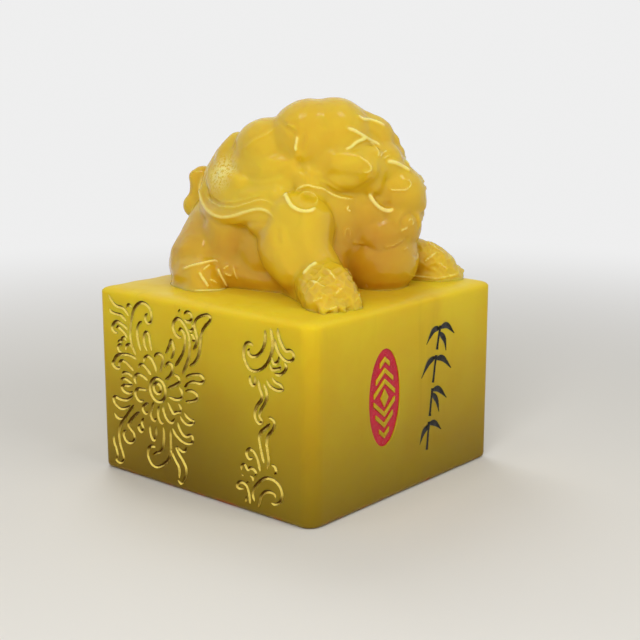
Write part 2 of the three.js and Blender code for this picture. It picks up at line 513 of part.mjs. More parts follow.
// Chevron with its tip at this height. sign turns it upside down, grow moves its edges out.
function chevronShape(tip, sign, grow) {
  const oval = OVAL_HALF_WIDTH * Math.sqrt(1 - (tip / OVAL_HALF_HEIGHT) ** 2);
  const half = oval - PANEL_MARGIN + grow;
  const rise = grow * Math.hypot(1, CHEVRON_SLOPE);
  const top = tip + rise;
  const bottom = tip - BAR_LINE - rise;
  const drop = half * CHEVRON_SLOPE;
  const points = [[-half, top - drop], [0, top], [half, top - drop]];
  points.push([half, bottom - drop], [0, bottom], [-half, bottom - drop]);
  return new THREE.Shape(points.map(([x, y]) => new THREE.Vector2(x, sign * y)));
}

function lozengeShape(grow) {
  const edge = Math.hypot(LOZENGE_HALF_WIDTH, LOZENGE_HALF_HEIGHT);
  const x = LOZENGE_HALF_WIDTH + (grow * edge) / LOZENGE_HALF_HEIGHT;
  const y = LOZENGE_HALF_HEIGHT + (grow * edge) / LOZENGE_HALF_WIDTH;
  const points = [[x, 0], [0, y], [-x, 0], [0, -y]];
  return new THREE.Shape(points.map((point) => new THREE.Vector2(...point)));
}

// The raised design of the panel: chevrons above and below a lozenge
function raisedBars(grow) {
  const shapes = [lozengeShape(grow)];
  for (let tip = FIRST_TIP; tip < OVAL_HALF_HEIGHT - PANEL_MARGIN; tip += CHEVRON_PITCH) {
    shapes.push(chevronShape(tip, 1, grow), chevronShape(tip, -1, grow));
  }
  return joinAll(shapes.map((shape) => panelSolid(shape, -OVAL_DEPTH - CUTTER_LIFT, 2 * CUTTER_LIFT)));
}

function ovalCutter() {
  return panelSolid(ovalShape(0), -OVAL_DEPTH, CUTTER_LIFT).subtract(raisedBars(0));
}

function redGround() {
  const ground = panelSolid(ovalShape(-RED_CLEARANCE), -OVAL_DEPTH + RED_CLEARANCE, -RED_RECESS);
  return ground.subtract(raisedBars(RED_CLEARANCE));
}

// Bamboo joint: the stem line and its leaves, which grow out of it and run in one groove
function bambooSolid(joint, sectionOf) {
  return joinAll([joint.stem, ...joint.leaves].map((controls) => wedge(rightSide, controls, sectionOf)));
}

// Facets round a form of this radius
function sidesFor(radius) {
  const sides = Math.round(FEWEST_SIDES - 1 + radius * SIDES_PER_RADIUS);
  return THREE.MathUtils.clamp(sides, FEWEST_SIDES, MOST_SIDES);
}

function ballSolid({ centre, half }) {
  const sides = sidesFor(Math.max(...half));
  const geometry = new THREE.SphereGeometry(1, sides, Math.ceil(sides * RINGS_PER_SIDE) + 1);
  geometry.rotateX(Math.PI / 2);
  geometry.scale(...half);
  geometry.translate(...centre);
  return solidFrom(geometry);
}

// Round-ended limb along a path, with its radius at each point of the path
function limbSolid(path, step = LIMB_STEP) {
  const sides = sidesFor(Math.max(...path.map((point) => point[3])));
  const curve = new THREE.CatmullRomCurve3(path.map(([x, y, z]) => new THREE.Vector3(x, y, z)));
  const radii = new THREE.SplineCurve(path.map((point, place) => new THREE.Vector2(place, point[3])));
  const pieces = Math.max(1, Math.round(curve.getLength() / step));
  const sections = [];
  const section = (place, slide, share) => {
    const radius = radii.getPoint(place).y;
    const along = curve.getTangent(place);
    const middle = curve.getPoint(place).addScaledVector(along, slide * radius);
    sections.push({ middle, along, radius: radius * share });
  };
  END_SECTIONS.forEach((end) => section(0, -end.past, end.radius));
  for (let piece = 0; piece <= pieces; piece += 1) {
    section(piece / pieces, 0, 1);
  }
  END_SECTIONS.toReversed().forEach((end) => section(1, end.past, end.radius));
  let spoke = LIMB_SPOKE;
  const rings = sections.map(({ middle, along, radius }) => {
    spoke = spoke.clone().addScaledVector(along, -spoke.dot(along)).normalize();
    const turn = new THREE.Vector3().crossVectors(along, spoke);
    const ring = [];
    for (let side = 0; side < sides; side += 1) {
      const angle = (side / sides) * 2 * Math.PI;
      const point = middle.clone().addScaledVector(spoke, radius * Math.cos(angle));
      ring.push(point.addScaledVector(turn, radius * Math.sin(angle)));
    }
    return ring;
  });
  return loft(rings);
}

function mirrorForm(form) {
  const flip = ([x, ...rest]) => [2 * BODY_MIDDLE - x, ...rest];
  return form.path ? { path: form.path.map(flip) } : { centre: flip(form.centre), half: form.half };
}

function formSolid(form) {
  return form.path ? limbSolid(form.path) : ballSolid(form);
}

function toeSolids({ root, tip, pitch, toes, radius }) {
  const solids = [];
  for (let toe = 0; toe < toes; toe += 1) {
    const aside = (toe - (toes - 1) / 2) * pitch;
    const back = TOE_SWEEP * aside * aside;
    const start = [root[0] + aside * TOE_TAPER, root[1] + back, root[2], radius];
    const end = [tip[0] + aside, tip[1] + back, tip[2], radius * TOE_TAPER];
    solids.push(limbSolid([start, end]));
  }
  return solids;
}

function shoulderCurl(mirror) {
  const outward = new THREE.Vector3(...CURL.outward).normalize();
  const level = new THREE.Vector3(0, 0, 1).cross(outward).normalize();
  const rise = new THREE.Vector3().crossVectors(outward, level);
  const path = [];
  for (let point = 0; point < CURL_POINTS; point += 1) {
    const share = point / (CURL_POINTS - 1);
    const angle = share * CURL_TURNS * 2 * Math.PI + Math.PI;
    const reach = THREE.MathUtils.lerp(CURL.start, CURL.end, share);
    const place = new THREE.Vector3(...CURL.centre)
      .addScaledVector(level, reach * Math.cos(angle))
      .addScaledVector(rise, reach * Math.sin(angle));
    path.push([place.x, place.y, place.z, CURL_RADIUS]);
  }
  const form = mirror ? mirrorForm({ path }) : { path };
  return limbSolid(form.path, CURL_STEP);
}

function knobSolid() {
  const solids = [];
  for (const form of Object.values(FORMS)) {
    solids.push(formSolid(form));
    if (form.mirrored) {
      solids.push(formSolid(mirrorForm(form)));
    }
  }
  for (const paw of PAWS) {
    solids.push(...toeSolids(paw));
  }
  solids.push(shoulderCurl(false), shoulderCurl(true));
  const below = boxSolid(2 * BLOCK_WIDTH, 2 * BLOCK_DEPTH, BLOCK_HEIGHT, 0, 0, -BLOCK_HEIGHT / 2);
  return joinAll(solids).subtract(limbSolid(MOUTH)).subtract(below);
}

const seal = new THREE.Group();

function addPiece(name, solid, finish, height = 0) {
  const material = new THREE.MeshStandardMaterial(finish);
  const mesh = new THREE.Mesh(geometryFrom(solid), material);
  mesh.name = name;
  mesh.position.z = height;
  seal.add(mesh);
}

function numbered(stem, place) {
  return `${stem}_${String(place + 1).padStart(2, "0")}`;
}

const goldLines = {};
for (const [stem, lines] of Object.entries({ petal: PETALS, leaf: LEAVES, vine: VINE_LINES })) {
  lines.forEach((controls, place) => {
    goldLines[numbered(`gold_${stem}`, place)] = controls;
  });
}

const cutters = [
  ...Object.values(goldLines).map((controls) => wedge(leftSide, controls, cutterSection)),
  ...Object.values(FLOWER_RINGS).map((ring) => ringWedge(leftSide, ring, cutterSection)),
  ...BAMBOO_JOINTS.map((joint) => bambooSolid(joint, cutterSection)),
  ovalCutter(),
  printGround(),
];
addPiece("stone_block", blockBlank().subtract(joinAll(cutters)), STONE);
addPiece("beast_knob", knobSolid(), STONE, BLOCK_HEIGHT);
for (const [name, controls] of Object.entries(goldLines)) {
  addPiece(name, wedge(leftSide, controls, paintSection), GOLD);
}
for (const [name, ring] of Object.entries(FLOWER_RINGS)) {
  addPiece(name, ringWedge(leftSide, ring, paintSection), GOLD);
}
BAMBOO_JOINTS.forEach((joint, place) => {
  addPiece(numbered("ink_bamboo", place), bambooSolid(joint, paintSection), INK);
});
addPiece("red_panel_ground", redGround(), RED);

export default seal;
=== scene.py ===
"""Seal stamp carved from one yellow stone: a block with gilt scrolls, an oval panel and an inked sprig
on its sides, and a crouching winged beast with its cub as the knob."""

import math
from itertools import product

import bmesh
import bpy
import numpy as np
from bpy.props import FloatProperty, FloatVectorProperty, IntProperty, PointerProperty
from mathutils import Matrix, Vector, noise
from mathutils.bvhtree import BVHTree
from mathutils.kdtree import KDTree


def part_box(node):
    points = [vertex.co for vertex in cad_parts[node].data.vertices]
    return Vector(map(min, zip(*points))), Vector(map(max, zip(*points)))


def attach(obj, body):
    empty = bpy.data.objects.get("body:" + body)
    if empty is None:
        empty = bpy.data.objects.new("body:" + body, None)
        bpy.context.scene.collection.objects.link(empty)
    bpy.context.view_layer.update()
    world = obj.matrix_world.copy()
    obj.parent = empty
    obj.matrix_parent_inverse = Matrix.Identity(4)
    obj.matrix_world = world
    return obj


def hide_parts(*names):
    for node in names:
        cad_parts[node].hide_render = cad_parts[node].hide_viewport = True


bl_info = {
    "name": "Carved seal stamp",
    "version": (1, 0, 0),
    "blender": (4, 5, 0),
    "location": "3D Viewport > Sidebar > Seal stamp",
    "description": "Carves, gilds and inks a yellow stone seal stamp round its packed frame",
    "category": "Object",
}

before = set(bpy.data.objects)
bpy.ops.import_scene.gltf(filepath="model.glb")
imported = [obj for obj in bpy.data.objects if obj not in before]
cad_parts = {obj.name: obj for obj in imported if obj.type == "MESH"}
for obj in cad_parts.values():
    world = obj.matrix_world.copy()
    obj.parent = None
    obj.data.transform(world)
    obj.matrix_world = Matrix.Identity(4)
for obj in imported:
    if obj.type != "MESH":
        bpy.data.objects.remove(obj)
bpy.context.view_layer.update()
BODY = "root"
MM = 0.001


def in_mm(metres):
    return metres / MM


def paint(code):
    """Linear colour of a hex colour as it is seen."""
    shares = [int(code[place:place + 2], 16) / 255 for place in (0, 2, 4)]
    return tuple(((share + 0.055) / 1.055) ** 2.4 if share > 0.04 else share / 12.92 for share in shares)


BLOCK_LOW, BLOCK_HIGH = (Vector(map(in_mm, corner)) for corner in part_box("stone_block"))
BLOCK_SIZE = BLOCK_HIGH - BLOCK_LOW
SEAT = BLOCK_HIGH.z
KNOB_LOW, KNOB_HIGH = (Vector(map(in_mm, corner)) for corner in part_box("beast_knob"))

# Drawings on the left side, in mm across from its left edge and up from the foot
PETALS = [
    [(15, 30), (15.6, 31.1), (16.9, 31.4), (18.4, 30.5), (19.9, 29.2)],
    [(18.5, 27.5), (17, 28.2), (15.2, 28.6), (13.8, 28), (13.4, 26.7), (14, 25.7)],
    [(17.2, 32.2), (17.5, 33.3), (18.7, 34.1), (20.2, 33.5), (21.4, 31.9), (22, 30.2)],
    [(21.2, 34.2), (22, 35), (23.4, 35.4), (24.6, 34.6), (24.2, 32.6), (23.3, 30.4)],
    [(25.2, 32), (25.8, 33), (26.9, 33.6), (28, 33), (27.9, 31.4), (26.7, 29.8), (25.2, 28.9)],
    [(28.6, 30.9), (30.2, 30.4), (30.5, 29.2), (29, 28.1), (27.4, 27.3), (26, 26.7)],
    [(30.4, 27.7), (31.4, 26.7), (31.2, 25.2), (30, 24.5), (28.2, 24.3), (26.2, 24.6)],
    [(30, 23.3), (30.9, 22.3), (30.6, 21.2), (29.2, 20.9), (28, 20.4), (26.9, 21.6), (25.9, 23)],
    [(24.2, 21.8), (24.3, 20.3), (25.2, 18.6), (26.4, 17.8), (27.6, 18), (28.4, 19.2)],
    [(22.7, 21.5), (22.2, 19.6), (22.4, 17.9), (23.3, 16.9), (24.3, 17.2)],
    [(20.6, 22), (19.8, 20.2), (19.3, 18.5), (19.7, 17.4), (20.7, 17), (21.5, 17.9)],
    [(18.6, 21.4), (16.6, 20.2), (16.2, 19.2), (17.2, 18.3), (18.4, 18.9)],
    [(18.2, 24.7), (16.2, 24.7), (14.4, 24.4), (13.5, 23.3), (13.9, 22), (15.2, 21.3), (16.9, 21.8)],
]
LEAVES = [
    [(4, 48.4), (5.3, 46.8), (7.1, 45.8), (9.4, 45.6), (10.9, 44.7), (11.8, 43.7)],
    [(4.1, 44.6), (4.9, 43.9), (7.3, 43.6), (8.9, 43.5), (10.8, 42.1)],
    [(14.2, 33.6), (13.1, 35.2), (12.5, 36.8), (12.2, 38.8), (12.5, 41), (12.9, 43), (14, 45.8),
     (15.8, 47.5), (17.8, 48), (19.8, 47.1), (20.7, 45.2), (20.4, 43.4), (19.2, 42.8), (18.3, 43.7),
     (18.5, 44.9), (19.3, 45.3)],
    [(17, 43), (15.8, 42.3), (15, 40.6), (15.1, 38.4), (15.5, 36.6), (16.2, 35)],
    [(18.7, 35.4), (17.8, 36.6), (17.5, 38.6), (18, 40.1), (18.8, 40.4), (19.5, 39.4), (19.9, 37.4),
     (20.4, 35.8)],
    [(7.3, 38.5), (5.9, 38.6), (5, 39.5), (5.8, 40.9), (7.1, 41.6), (8.9, 41.2), (10.3, 40.6),
     (11.3, 39.9)],
    [(6.6, 39.7), (7.5, 40.2), (8.8, 39.6), (9.9, 38.9), (11, 37.8)],
    [(14.4, 32.4), (13.2, 32.9), (11.2, 33.2), (8.6, 32.9), (6.4, 32.1), (5.3, 30.6), (4.7, 29.6),
     (6, 28.8), (7.3, 29), (7.5, 30.4), (8.5, 31.2), (10, 31), (11.8, 30), (13.1, 29.1)],
    [(8.3, 26.9), (8.8, 27.8), (10.4, 28.1), (11.8, 27.8), (12.6, 27.3)],
    [(7.7, 25.8), (9.2, 26.4), (10.8, 26.1), (12.2, 25.3), (10.8, 24.7), (9, 24.5), (8.1, 23.6),
     (9.2, 22.8), (11, 22.7), (12.5, 23.4)],
    [(25.6, 35.8), (26.2, 36.7), (27, 38), (27.8, 39.6), (28.5, 38.7), (28.8, 37.4), (28.4, 35.9),
     (27.6, 34.7)],
    [(29, 33), (30.4, 34.6), (31.9, 36.7), (32.8, 38.8), (33.1, 40.7), (32.6, 42.3), (31.4, 43.1),
     (30.6, 42.3)],
    [(31.9, 41), (30.8, 40.9), (29.5, 41.5), (28.7, 42.9), (29, 44.5), (30.1, 45.6), (31.4, 45.5),
     (32.7, 44.5), (33.8, 43.1), (34.5, 41.4), (34.6, 39), (34.3, 36.6), (33.4, 34.4), (32.4, 32.6),
     (31.6, 31.4)],
    [(34.4, 34), (36, 35), (37.5, 36.9), (38.3, 39.2), (38.6, 41.6), (39.2, 43.6), (40.4, 45.2),
     (41.8, 46.5), (42.2, 47.5), (41.2, 48.1), (39.2, 47.6), (37.4, 46.6), (36.5, 45), (36.9, 43.2),
     (37.4, 41.4), (36.8, 39.6), (35.8, 38.4)],
    [(32.8, 30.8), (34.2, 31.5), (36, 32.1), (38.4, 32.3), (39.4, 31.2), (38.2, 30.2), (35.8, 30.1),
     (34, 29.5), (32.2, 28)],
    [(32.6, 27.1), (33.8, 27.5), (35.4, 27.6), (36.9, 26.9), (36.8, 25.8), (35, 24.9), (32.5, 24.3)],
    [(32, 21.3), (32.9, 20.5), (34.2, 20), (35.6, 19.7), (34.4, 18.7), (32.6, 18.5), (31.2, 19.3),
     (30.5, 20.1)],
    [(29.5, 18.3), (30.1, 16.9), (31.1, 15.6), (32.5, 15.1), (34.4, 15.8), (35.1, 14.7), (34.6, 13.8),
     (32.9, 13.3), (30.8, 13.6), (28.8, 14.7), (27.5, 16.2)],
    [(32.6, 12.3), (32.2, 11.3), (31, 10.8), (28.9, 11.4), (29.6, 10), (31.3, 8.2), (32.3, 6.6),
     (32.2, 4.8), (31.4, 3.2), (30.8, 2.3)],
    [(23.9, 15.9), (24.2, 14.6), (24.1, 12.2), (23.6, 10.2), (22.4, 8.8), (21, 8.2), (19.8, 7.4)],
    [(26.7, 15.6), (26.8, 13.6), (26.7, 10.2), (25.8, 7.6), (24.2, 6), (22.2, 4.8), (20.2, 4.3),
     (18.7, 5.1), (17.8, 6.8), (18, 8.7), (19.3, 9.8), (20.8, 9.7)],
    [(12.6, 22.3), (11.4, 21.4), (9.8, 20.6), (7.4, 20.4), (5.4, 20.7), (4.5, 19.9), (5.4, 18.5),
     (7.4, 17.8), (9.8, 18.4), (11.4, 19.3)],
    [(12.8, 19.8), (10.9, 17.7), (9, 15.5), (7.2, 13.3), (6.4, 11.2), (6.4, 9.2), (6.9, 7), (7.8, 5),
     (7.9, 3.5), (6.6, 2.4), (4.9, 2.7), (5.5, 4.2), (5, 6), (4.2, 7.8), (4.1, 9.8)],
    [(15, 18.3), (13.4, 17.2), (11.6, 15.6), (10.2, 13.9), (10.9, 12.9), (12.3, 11.9), (12.6, 10.4),
     (11.4, 9.1), (9.5, 8.9), (8.3, 10.2), (8.5, 11.6), (9.5, 11.9)],
    [(18.9, 15.6), (18.9, 13.6), (19.5, 12), (20.3, 11.6), (21.1, 13), (21.4, 15.6)],
]
VINE_LINES = [
    [(60.5, 47.2), (60.5, 45), (59.9, 42.8), (58.4, 40.9), (56.8, 40.1), (55.4, 40.2), (54.9, 41.2),
     (55.5, 41.8)],
    [(62.2, 47.8), (62.8, 45.6), (62.9, 43.4), (62.2, 41), (60.6, 38.6), (58.6, 37.1), (56.6, 36.5),
     (54.9, 37), (53.7, 38.8), (53.4, 40.8), (54, 42.6), (55.2, 43.2), (56.6, 42.7)],
    [(64.5, 48.2), (64.8, 46.4), (65.7, 44.6), (66.9, 43.2), (68.4, 43.4), (69.5, 42.6), (69.2, 41.3),
     (67.6, 40.7), (66, 41.2), (64.6, 42.6), (63.9, 44.1), (63.7, 45.4)],
    [(60.8, 35), (61.4, 34.1), (62.6, 33.4), (64.4, 33.1), (66, 33.6), (65.2, 34.6), (63.6, 35),
     (62.5, 35.9)],
    [(55.4, 35.3), (55.4, 34), (56, 32.9), (56.8, 33), (57.1, 34), (57, 35.3)],
    [(58.1, 34.6), (58.5, 32.8), (59.3, 31), (59, 29.6), (57.7, 28.1), (56.9, 26.2), (57.1, 24.6),
     (58.2, 23.7), (59.2, 24.4), (58.4, 25.6), (58.9, 27.2), (60.1, 29), (60.9, 30.8), (60.7, 32.4),
     (59.9, 33.8)],
    [(61.9, 24.4), (60.4, 23), (58.9, 21.8), (58.2, 20.2), (58.5, 18.2), (59.1, 16), (59.7, 14)],
    [(61.2, 25.8), (62.3, 25.7), (63.3, 24.8), (62.6, 22.9), (61.2, 21.2), (60.7, 19.2), (61, 17),
     (61.3, 14.8), (60.7, 12.6)],
    [(56.3, 14.6), (54.6, 14.1), (53.9, 15.3), (54.9, 16.6), (56.5, 16), (57.7, 14.2), (58.4, 11.6)],
    [(51.9, 10.4), (52.3, 11.8), (53.3, 12.2), (54.1, 11.1), (55, 11.7), (56.2, 11.7), (57.1, 10.8),
     (56.5, 10)],
    [(52.8, 5.7), (50.6, 5.8), (51.2, 7.1), (52.7, 7.4), (54, 6.5), (54.7, 4.6), (54.9, 2.4)],
    [(56.4, 3.4), (55.9, 5.2), (56.6, 7.2), (58.4, 9.2), (60.6, 10.4), (63, 10.4), (64.9, 9.2), (65.6, 7.2),
     (64.8, 5.2), (63, 4.3), (61.8, 4.5)],
    [(57.6, 2.2), (58.2, 3.8), (58.7, 5.3), (59.9, 6.6), (61.6, 7.1), (63.1, 6.8), (63.4, 5.9)],
]
TENDRILS = [
    [(11, 45.6), (11.4, 46.4), (12.2, 46.7), (13.3, 46.2)],
    [(7, 35.9), (7.6, 36.4), (8.5, 36.5), (9, 37.4), (9.8, 37.6), (10.6, 36.9)],
    [(9, 35.6), (7.7, 35.3), (7.1, 34.5), (7.5, 33.7), (8.6, 33.5)],
    [(10.3, 34.2), (10.3, 35.1), (11.1, 35.9), (12.2, 36), (12.9, 35.3)],
    [(32.8, 47.2), (33.9, 47.8), (35.2, 47.6), (35.6, 46.4), (34.8, 45.5), (33.6, 45.4), (32.8, 45.9)],
    [(35.5, 45), (35.9, 44), (35.2, 43.2), (34.2, 43.4)],
    [(30.7, 47.3), (31.4, 48.2)],
    [(34.9, 42.5), (35.8, 42.2), (36.3, 41), (35.4, 40.5)],
    [(26.6, 10.2), (28.2, 8), (29.7, 5.9), (29.6, 3.2)],
    [(29, 2.6), (30, 2), (31.2, 2.3)],
    [(4.7, 16), (5.4, 15.2), (6.8, 14.9), (8.4, 15.4)],
    [(16.6, 17), (15.7, 15.4), (16.3, 14), (15.3, 12.9), (14.3, 13.8), (15, 15)],
    [(62.5, 40.8), (63.2, 39.4), (64.4, 40), (64.9, 41.4)],
    [(66.5, 40.2), (67.2, 39.3), (66.5, 38), (65, 37), (63.3, 37)],
    [(61.9, 38.9), (62.6, 37.9), (64, 38.2), (65.2, 38.6), (65.2, 39.5)],
    [(62, 14.2), (63.3, 13.8), (63.7, 12.6), (62.9, 11.8)],
    [(54.9, 9.7), (55.8, 9.4), (56, 8.5)],
    [(51.9, 9.4), (52.8, 9.2)],
    [(53.8, 7.5), (54.5, 8.1)],
    [(53.8, 4.2), (53.3, 2.4)],
]
GOLD_LINES = {"petal": PETALS, "leaf": LEAVES, "vine": VINE_LINES, "tendril": TENDRILS}
FLOWER_RINGS = {
    "gold_flower_ring": {"centre": (22.3, 25.6), "half": (2.95, 3.1)},
    "gold_flower_eye": {"centre": (22.2, 26), "half": (1.4, 1.4)},
}

# Bamboo sprig on the front side: each joint of the stem with the leaves that grow from it
BAMBOO_JOINTS = [
    {"stem": [(46.2, 9), (46.6, 13), (47, 16.6)],
     "leaves": [[(46.8, 16.1), (49.6, 15.6), (52.6, 13.2)], [(47.1, 15.7), (44.6, 14.2), (43, 11.2)]]},
    {"stem": [(47.2, 18), (47.7, 22), (48.2, 25.4)],
     "leaves": [[(47.9, 24.9), (51, 24.6), (54.8, 21.4)], [(47.8, 24.2), (50.2, 21.8), (51.4, 18.2)]]},
    {"stem": [(48.4, 26.8), (49, 30.6), (49.6, 34)],
     "leaves": [[(49.7, 33.6), (46.4, 32.6), (43.2, 29)], [(49.2, 33.1), (52.6, 32.6), (56.6, 29.2)]]},
    {"stem": [(49.9, 35.4), (50.5, 38.6), (51.3, 41.6)],
     "leaves": [[(50.9, 41), (54.2, 41.2), (57.8, 38.4)], [(51.3, 40.9), (48.2, 40.8), (45.2, 37.6)],
                [(50.7, 40), (53.2, 37.6), (54, 34.4)]]},
]

# Engraving, in mm: run-in of a stroke's width, rise of its cutter and depth of its paint's rims
TAPER_LENGTH = 1.3
CUTTER_RISE = 0.3
COAT_SINK = 0.03

# Oval panel, in mm: rise of its cutter, overrun of its bars, and place and clearance of its paint
PANEL_RISE = 0.4
BAR_PAST = 0.5
RED_BED = 0.03
RED_TOP = -0.3
RED_CLEARANCE = 0.02
OVAL_STEPS = 96

# Square spiral left standing in each quarter of the printing face, in units of its pitch
FRET_PATH = [(0, 0), (1, 0), (1, -2), (-2, -2), (-2, 2), (3, 2)]
FRET_SPAN = (5, 4)
FRET_MIDDLE = (0.5, 0)
QUARTERS = [(-1, -1), (-1, 1), (1, -1), (1, 1)]

# Block, in mm: bands that count as its foot and its top, and the length of the top's waves
FOOT_BAND = 0.1
TOP_BAND = 0.01
WAVE_LENGTH = 9

# Angles at which the block's grid follows the soft top edge
EDGE_ANGLES = (18, 32, 45, 58, 70, 80)

# Forms of the beast, in mm above the seat: a limb's places with radii, or a ball's with half sizes
BODY_MIDDLE = 4.5
LONE_FORMS = [
    [(1.5, 10.5, 24, 14, 16, 15)],
    [(4.5, 20, 12.5, 12.5), (4.5, 8, 14.5, 13.5), (4.5, -4, 15.5, 13)],
    [(4.5, 14, 4.5, 9), (4.5, -8, 4.5, 9)],
    [(-9, 17, 5, 9.5), (18, 17, 5, 9.5)],
    [(4.5, -9, 15.5, 12, 11, 14)],
    [(4, 32, 2.5, 4), (1, 33, 9.5, 4.2), (-3, 32, 16.5, 4), (-5, 31, 22.5, 3.6), (-4.6, 30.6, 27, 3)],
    [(-6, 31.4, 26.6, 2.6, 2.6, 2.6)],
    [(-7.4, 32, 18.8, 3, 3, 3.4)],
    [(-10, -8, 19, 7, 8, 7)],
    [(-8.5, -7, 18, 8), (-12.5, -7.6, 12, 7.9), (-13.3, -12.5, 7, 7)],
    [(-9, -11, 17.5, 7.8), (-11.5, -14, 11.5, 6.5), (-12.5, -19.5, 6, 6)],
    [(-12.5, -18, 5.4, 5.8), (-15.4, -24.6, 4.4, 5.8), (-18, -28.4, 2.8, 5.2)],
    [(-9.5, -9, 0, 5), (-13.6, -18.5, 0, 6), (-17.4, -26, 0, 6.2)],
    [(-12.5, -17, 4, 6), (-18.4, -22.8, 3.4, 5.2), (-23, -28, 1.8, 4)],
    [(-13.4, -26, 2, 4.4), (-16.2, -31.4, 1.2, 3.2)],
    [(-6, 3, 27, 8, 11, 8)],
    [(-7.9, 9, 31, 5.4), (-7.9, 2, 31, 5.6), (-6.4, -3.4, 31, 5)],
    [(-4.6, -8.4, 28, 4.8, 4.8, 4.8)],
    [(-1.2, -10.5, 26.4, 3.8), (2, -13, 26.4, 3.9), (5.2, -15.4, 26.4, 3.9)],
    [(12.6, -19.2, 32, 5.4, 5.2, 6)],
    [(7.4, -19.2, 27.4, 3.6, 3.6, 3.6)],
    [(-5, -9.5, 24, 4.4, 4.4, 4.4)],
    [(-0.6, -14.4, 33, 4.2), (2, -17.4, 32.6, 3.9)],
    [(-0.4, -14.2, 28.6, 3.6), (3, -17.2, 29, 3.5)],
    [(6.6, -19.6, 34, 3.3), (7.6, -20.2, 31, 3.3), (7, -19.6, 28, 3.1)],
    [(-1, -10.5, 20, 5), (-2, -12.5, 12, 5), (-3, -13.5, 6, 5)],
    [(20, -6, 18.5, 7, 8, 7)],
    [(18, -6, 16.5, 8), (21, -12, 11.5, 7), (25, -17, 6.5, 6)],
    [(26, -17, 5.5, 5.8), (28.2, -21.6, 4.8, 5.4), (30.4, -25.6, 2.9, 4.3)],
    [(25.5, -16, 0, 5.6), (29.5, -24, 0, 5.4), (31.2, -27, 0, 4.4)],
    [(11, -14, 20, 9, 8, 8)],
    [(9, -15, 17, 9, 9, 10)],
    [(16, -21.5, 24, 7.4, 7.4, 7.4)],
    [(11.5, -21, 29.6, 2.2), (15, -22.6, 30.2, 2.6), (19, -23.5, 28, 2.4)],
    [(18, -23.8, 22, 4.6, 4.6, 6)],
    [(14, -21, 15.5, 8, 8, 8)],
    [(15.5, -26, 17, 3.2, 3.2, 3.4)],
    [(9.5, -20, 13.5, 8, 7.5, 6.5)],
    [(11.5, -19.4, 7, 11, 9.8, 10)],
    [(-4, 6, 35, 9, 10, 9)],
    [(5.5, 6, 36.5, 9, 9, 8.5)],
    [(1.5, -3.5, 38, 11, 11, 11)],
    [(6, -7.5, 38.2, 11, 11, 11)],
    [(2, -10.5, 32.5, 7.5, 7.5, 7)],
    [(7, -8, 40, 8.4), (13.6, -14.2, 38.4, 6.4)],
    [(17.2, -18.4, 37.7, 2.1, 2.1, 2.1)],
    [(17.8, -19.4, 34.4, 2.4, 2.4, 2.4)],
    [(16, -17.5, 33.5, 4.5, 4.5, 4)],
    [(5, -18, 34.5, 2.8), (4, -20.5, 31.5, 3.2), (4, -18.5, 28.5, 2.6)],
    [(-5.5, -6, 39, 1.4), (-7.2, -7, 36, 2.2), (-6, -7, 33.5, 1.6)],
]

# Forms that come on both sides of the body's middle
HALF_FORMS = [
    [(-5, 3, 14.6, 9.9, 14, 12.4)],
    [(-5, 25, 16.5, 7), (-9, 21.5, 9.5, 10.3), (-13.6, 20, 4.5, 11.2)],
    [(-14, 27, 3, 5), (-19.5, 20, 3.4, 5.8), (-21.5, 14, 3, 5.4)],
    [(-14, -8.5, 19, 2.2), (-15, -1.5, 19.6, 2.4), (-16, 6, 18.8, 2.6), (-15.4, 14, 18.4, 2.8),
     (-12.2, 20.7, 20.2, 2.8), (-9, 23.4, 25.5, 2.6), (-5.2, 24.2, 30.8, 2.4), (-1, 22.8, 35.4, 2.2),
     (3, 20, 38.4, 2)],
    [(-13.5, -8, 20.5, 2), (-14, -2, 21.3, 2.9), (-14.4, 4.5, 21, 3.2), (-13.2, 11, 22, 3.4),
     (-9.5, 16, 25, 3.2)],
    [(-19.5, 20, 0, 6), (-21.8, 13.2, 0, 5.6)],
    [(-13, 8, 23, 3.8), (-12, 14, 24, 4.2), (-9.8, 18.6, 27.4, 4.2), (-5.8, 20.4, 32, 3.8),
     (-2.4, 20.2, 35.4, 3.4)],
    [(-7.4, 13.2, 31, 5, 5.6, 5.6)],
    [(-9.6, 16.2, 29.6, 4), (-7.6, 17, 33.6, 3.8), (-5, 16.4, 36.6, 3.4)],
    [(-14.4, -1.5, 17.4, 4, 5, 3.6)],
    [(-12.4, 10, 23.2, 3.6), (-12.8, 3, 23.4, 3.7), (-11.4, -3.4, 24, 3.6)],
    [(-10.6, 9.5, 11, 6, 8, 11)],
    [(-17, 12, 4, 5), (-13.4, 6, 3.4, 4.9), (-11.6, -1, 2.6, 4.6), (-10, -5, 2.4, 4.6)],
    [(-9.4, 2, 8.6, 7.4, 9, 9.4)],
    [(-12.8, 12.6, 11.6, 6.5, 7.6, 11)],
    [(-11.2, 13.4, 27, 4.4), (-11.5, 8, 26.6, 4.6)],
]

# Toes of each paw: centre of the row, its tips, the pitch and size of its toes
PAWS = [
    {"root": (-19.6, -29.4, 2.2), "tip": (-21.2, -33, 0.8), "pitch": 2.7, "toes": 5,
     "radius": 1.4, "sweep": 0.04},
    {"root": (30.4, -26, 3.2), "tip": (32.4, -30, 1.2), "pitch": 2.7, "toes": 4,
     "radius": 1.5, "sweep": 0.12},
]
TOE_TAPER = 0.85

# Slab under the forms, in mm, and how far the finished knob sinks into the block
SLAB_MARGIN = 8
SLAB_HEIGHT = 6
SLAB_DROP = 0.5
SLAB_KEPT = 2
KNOB_SINK = 0.4

# Net of fine ridges on the forepaws: where it lies, and the ways across its two sets of ridges
NETS = [
    {"centre": (-18.5, -28, 4), "half": (12, 12, 9.5)},
    {"centre": (31, -26, 5), "half": (10, 10, 9)},
]
NET_WAYS = [(0.57, -0.44, 0.69), (0.34, -0.64, -0.69)]

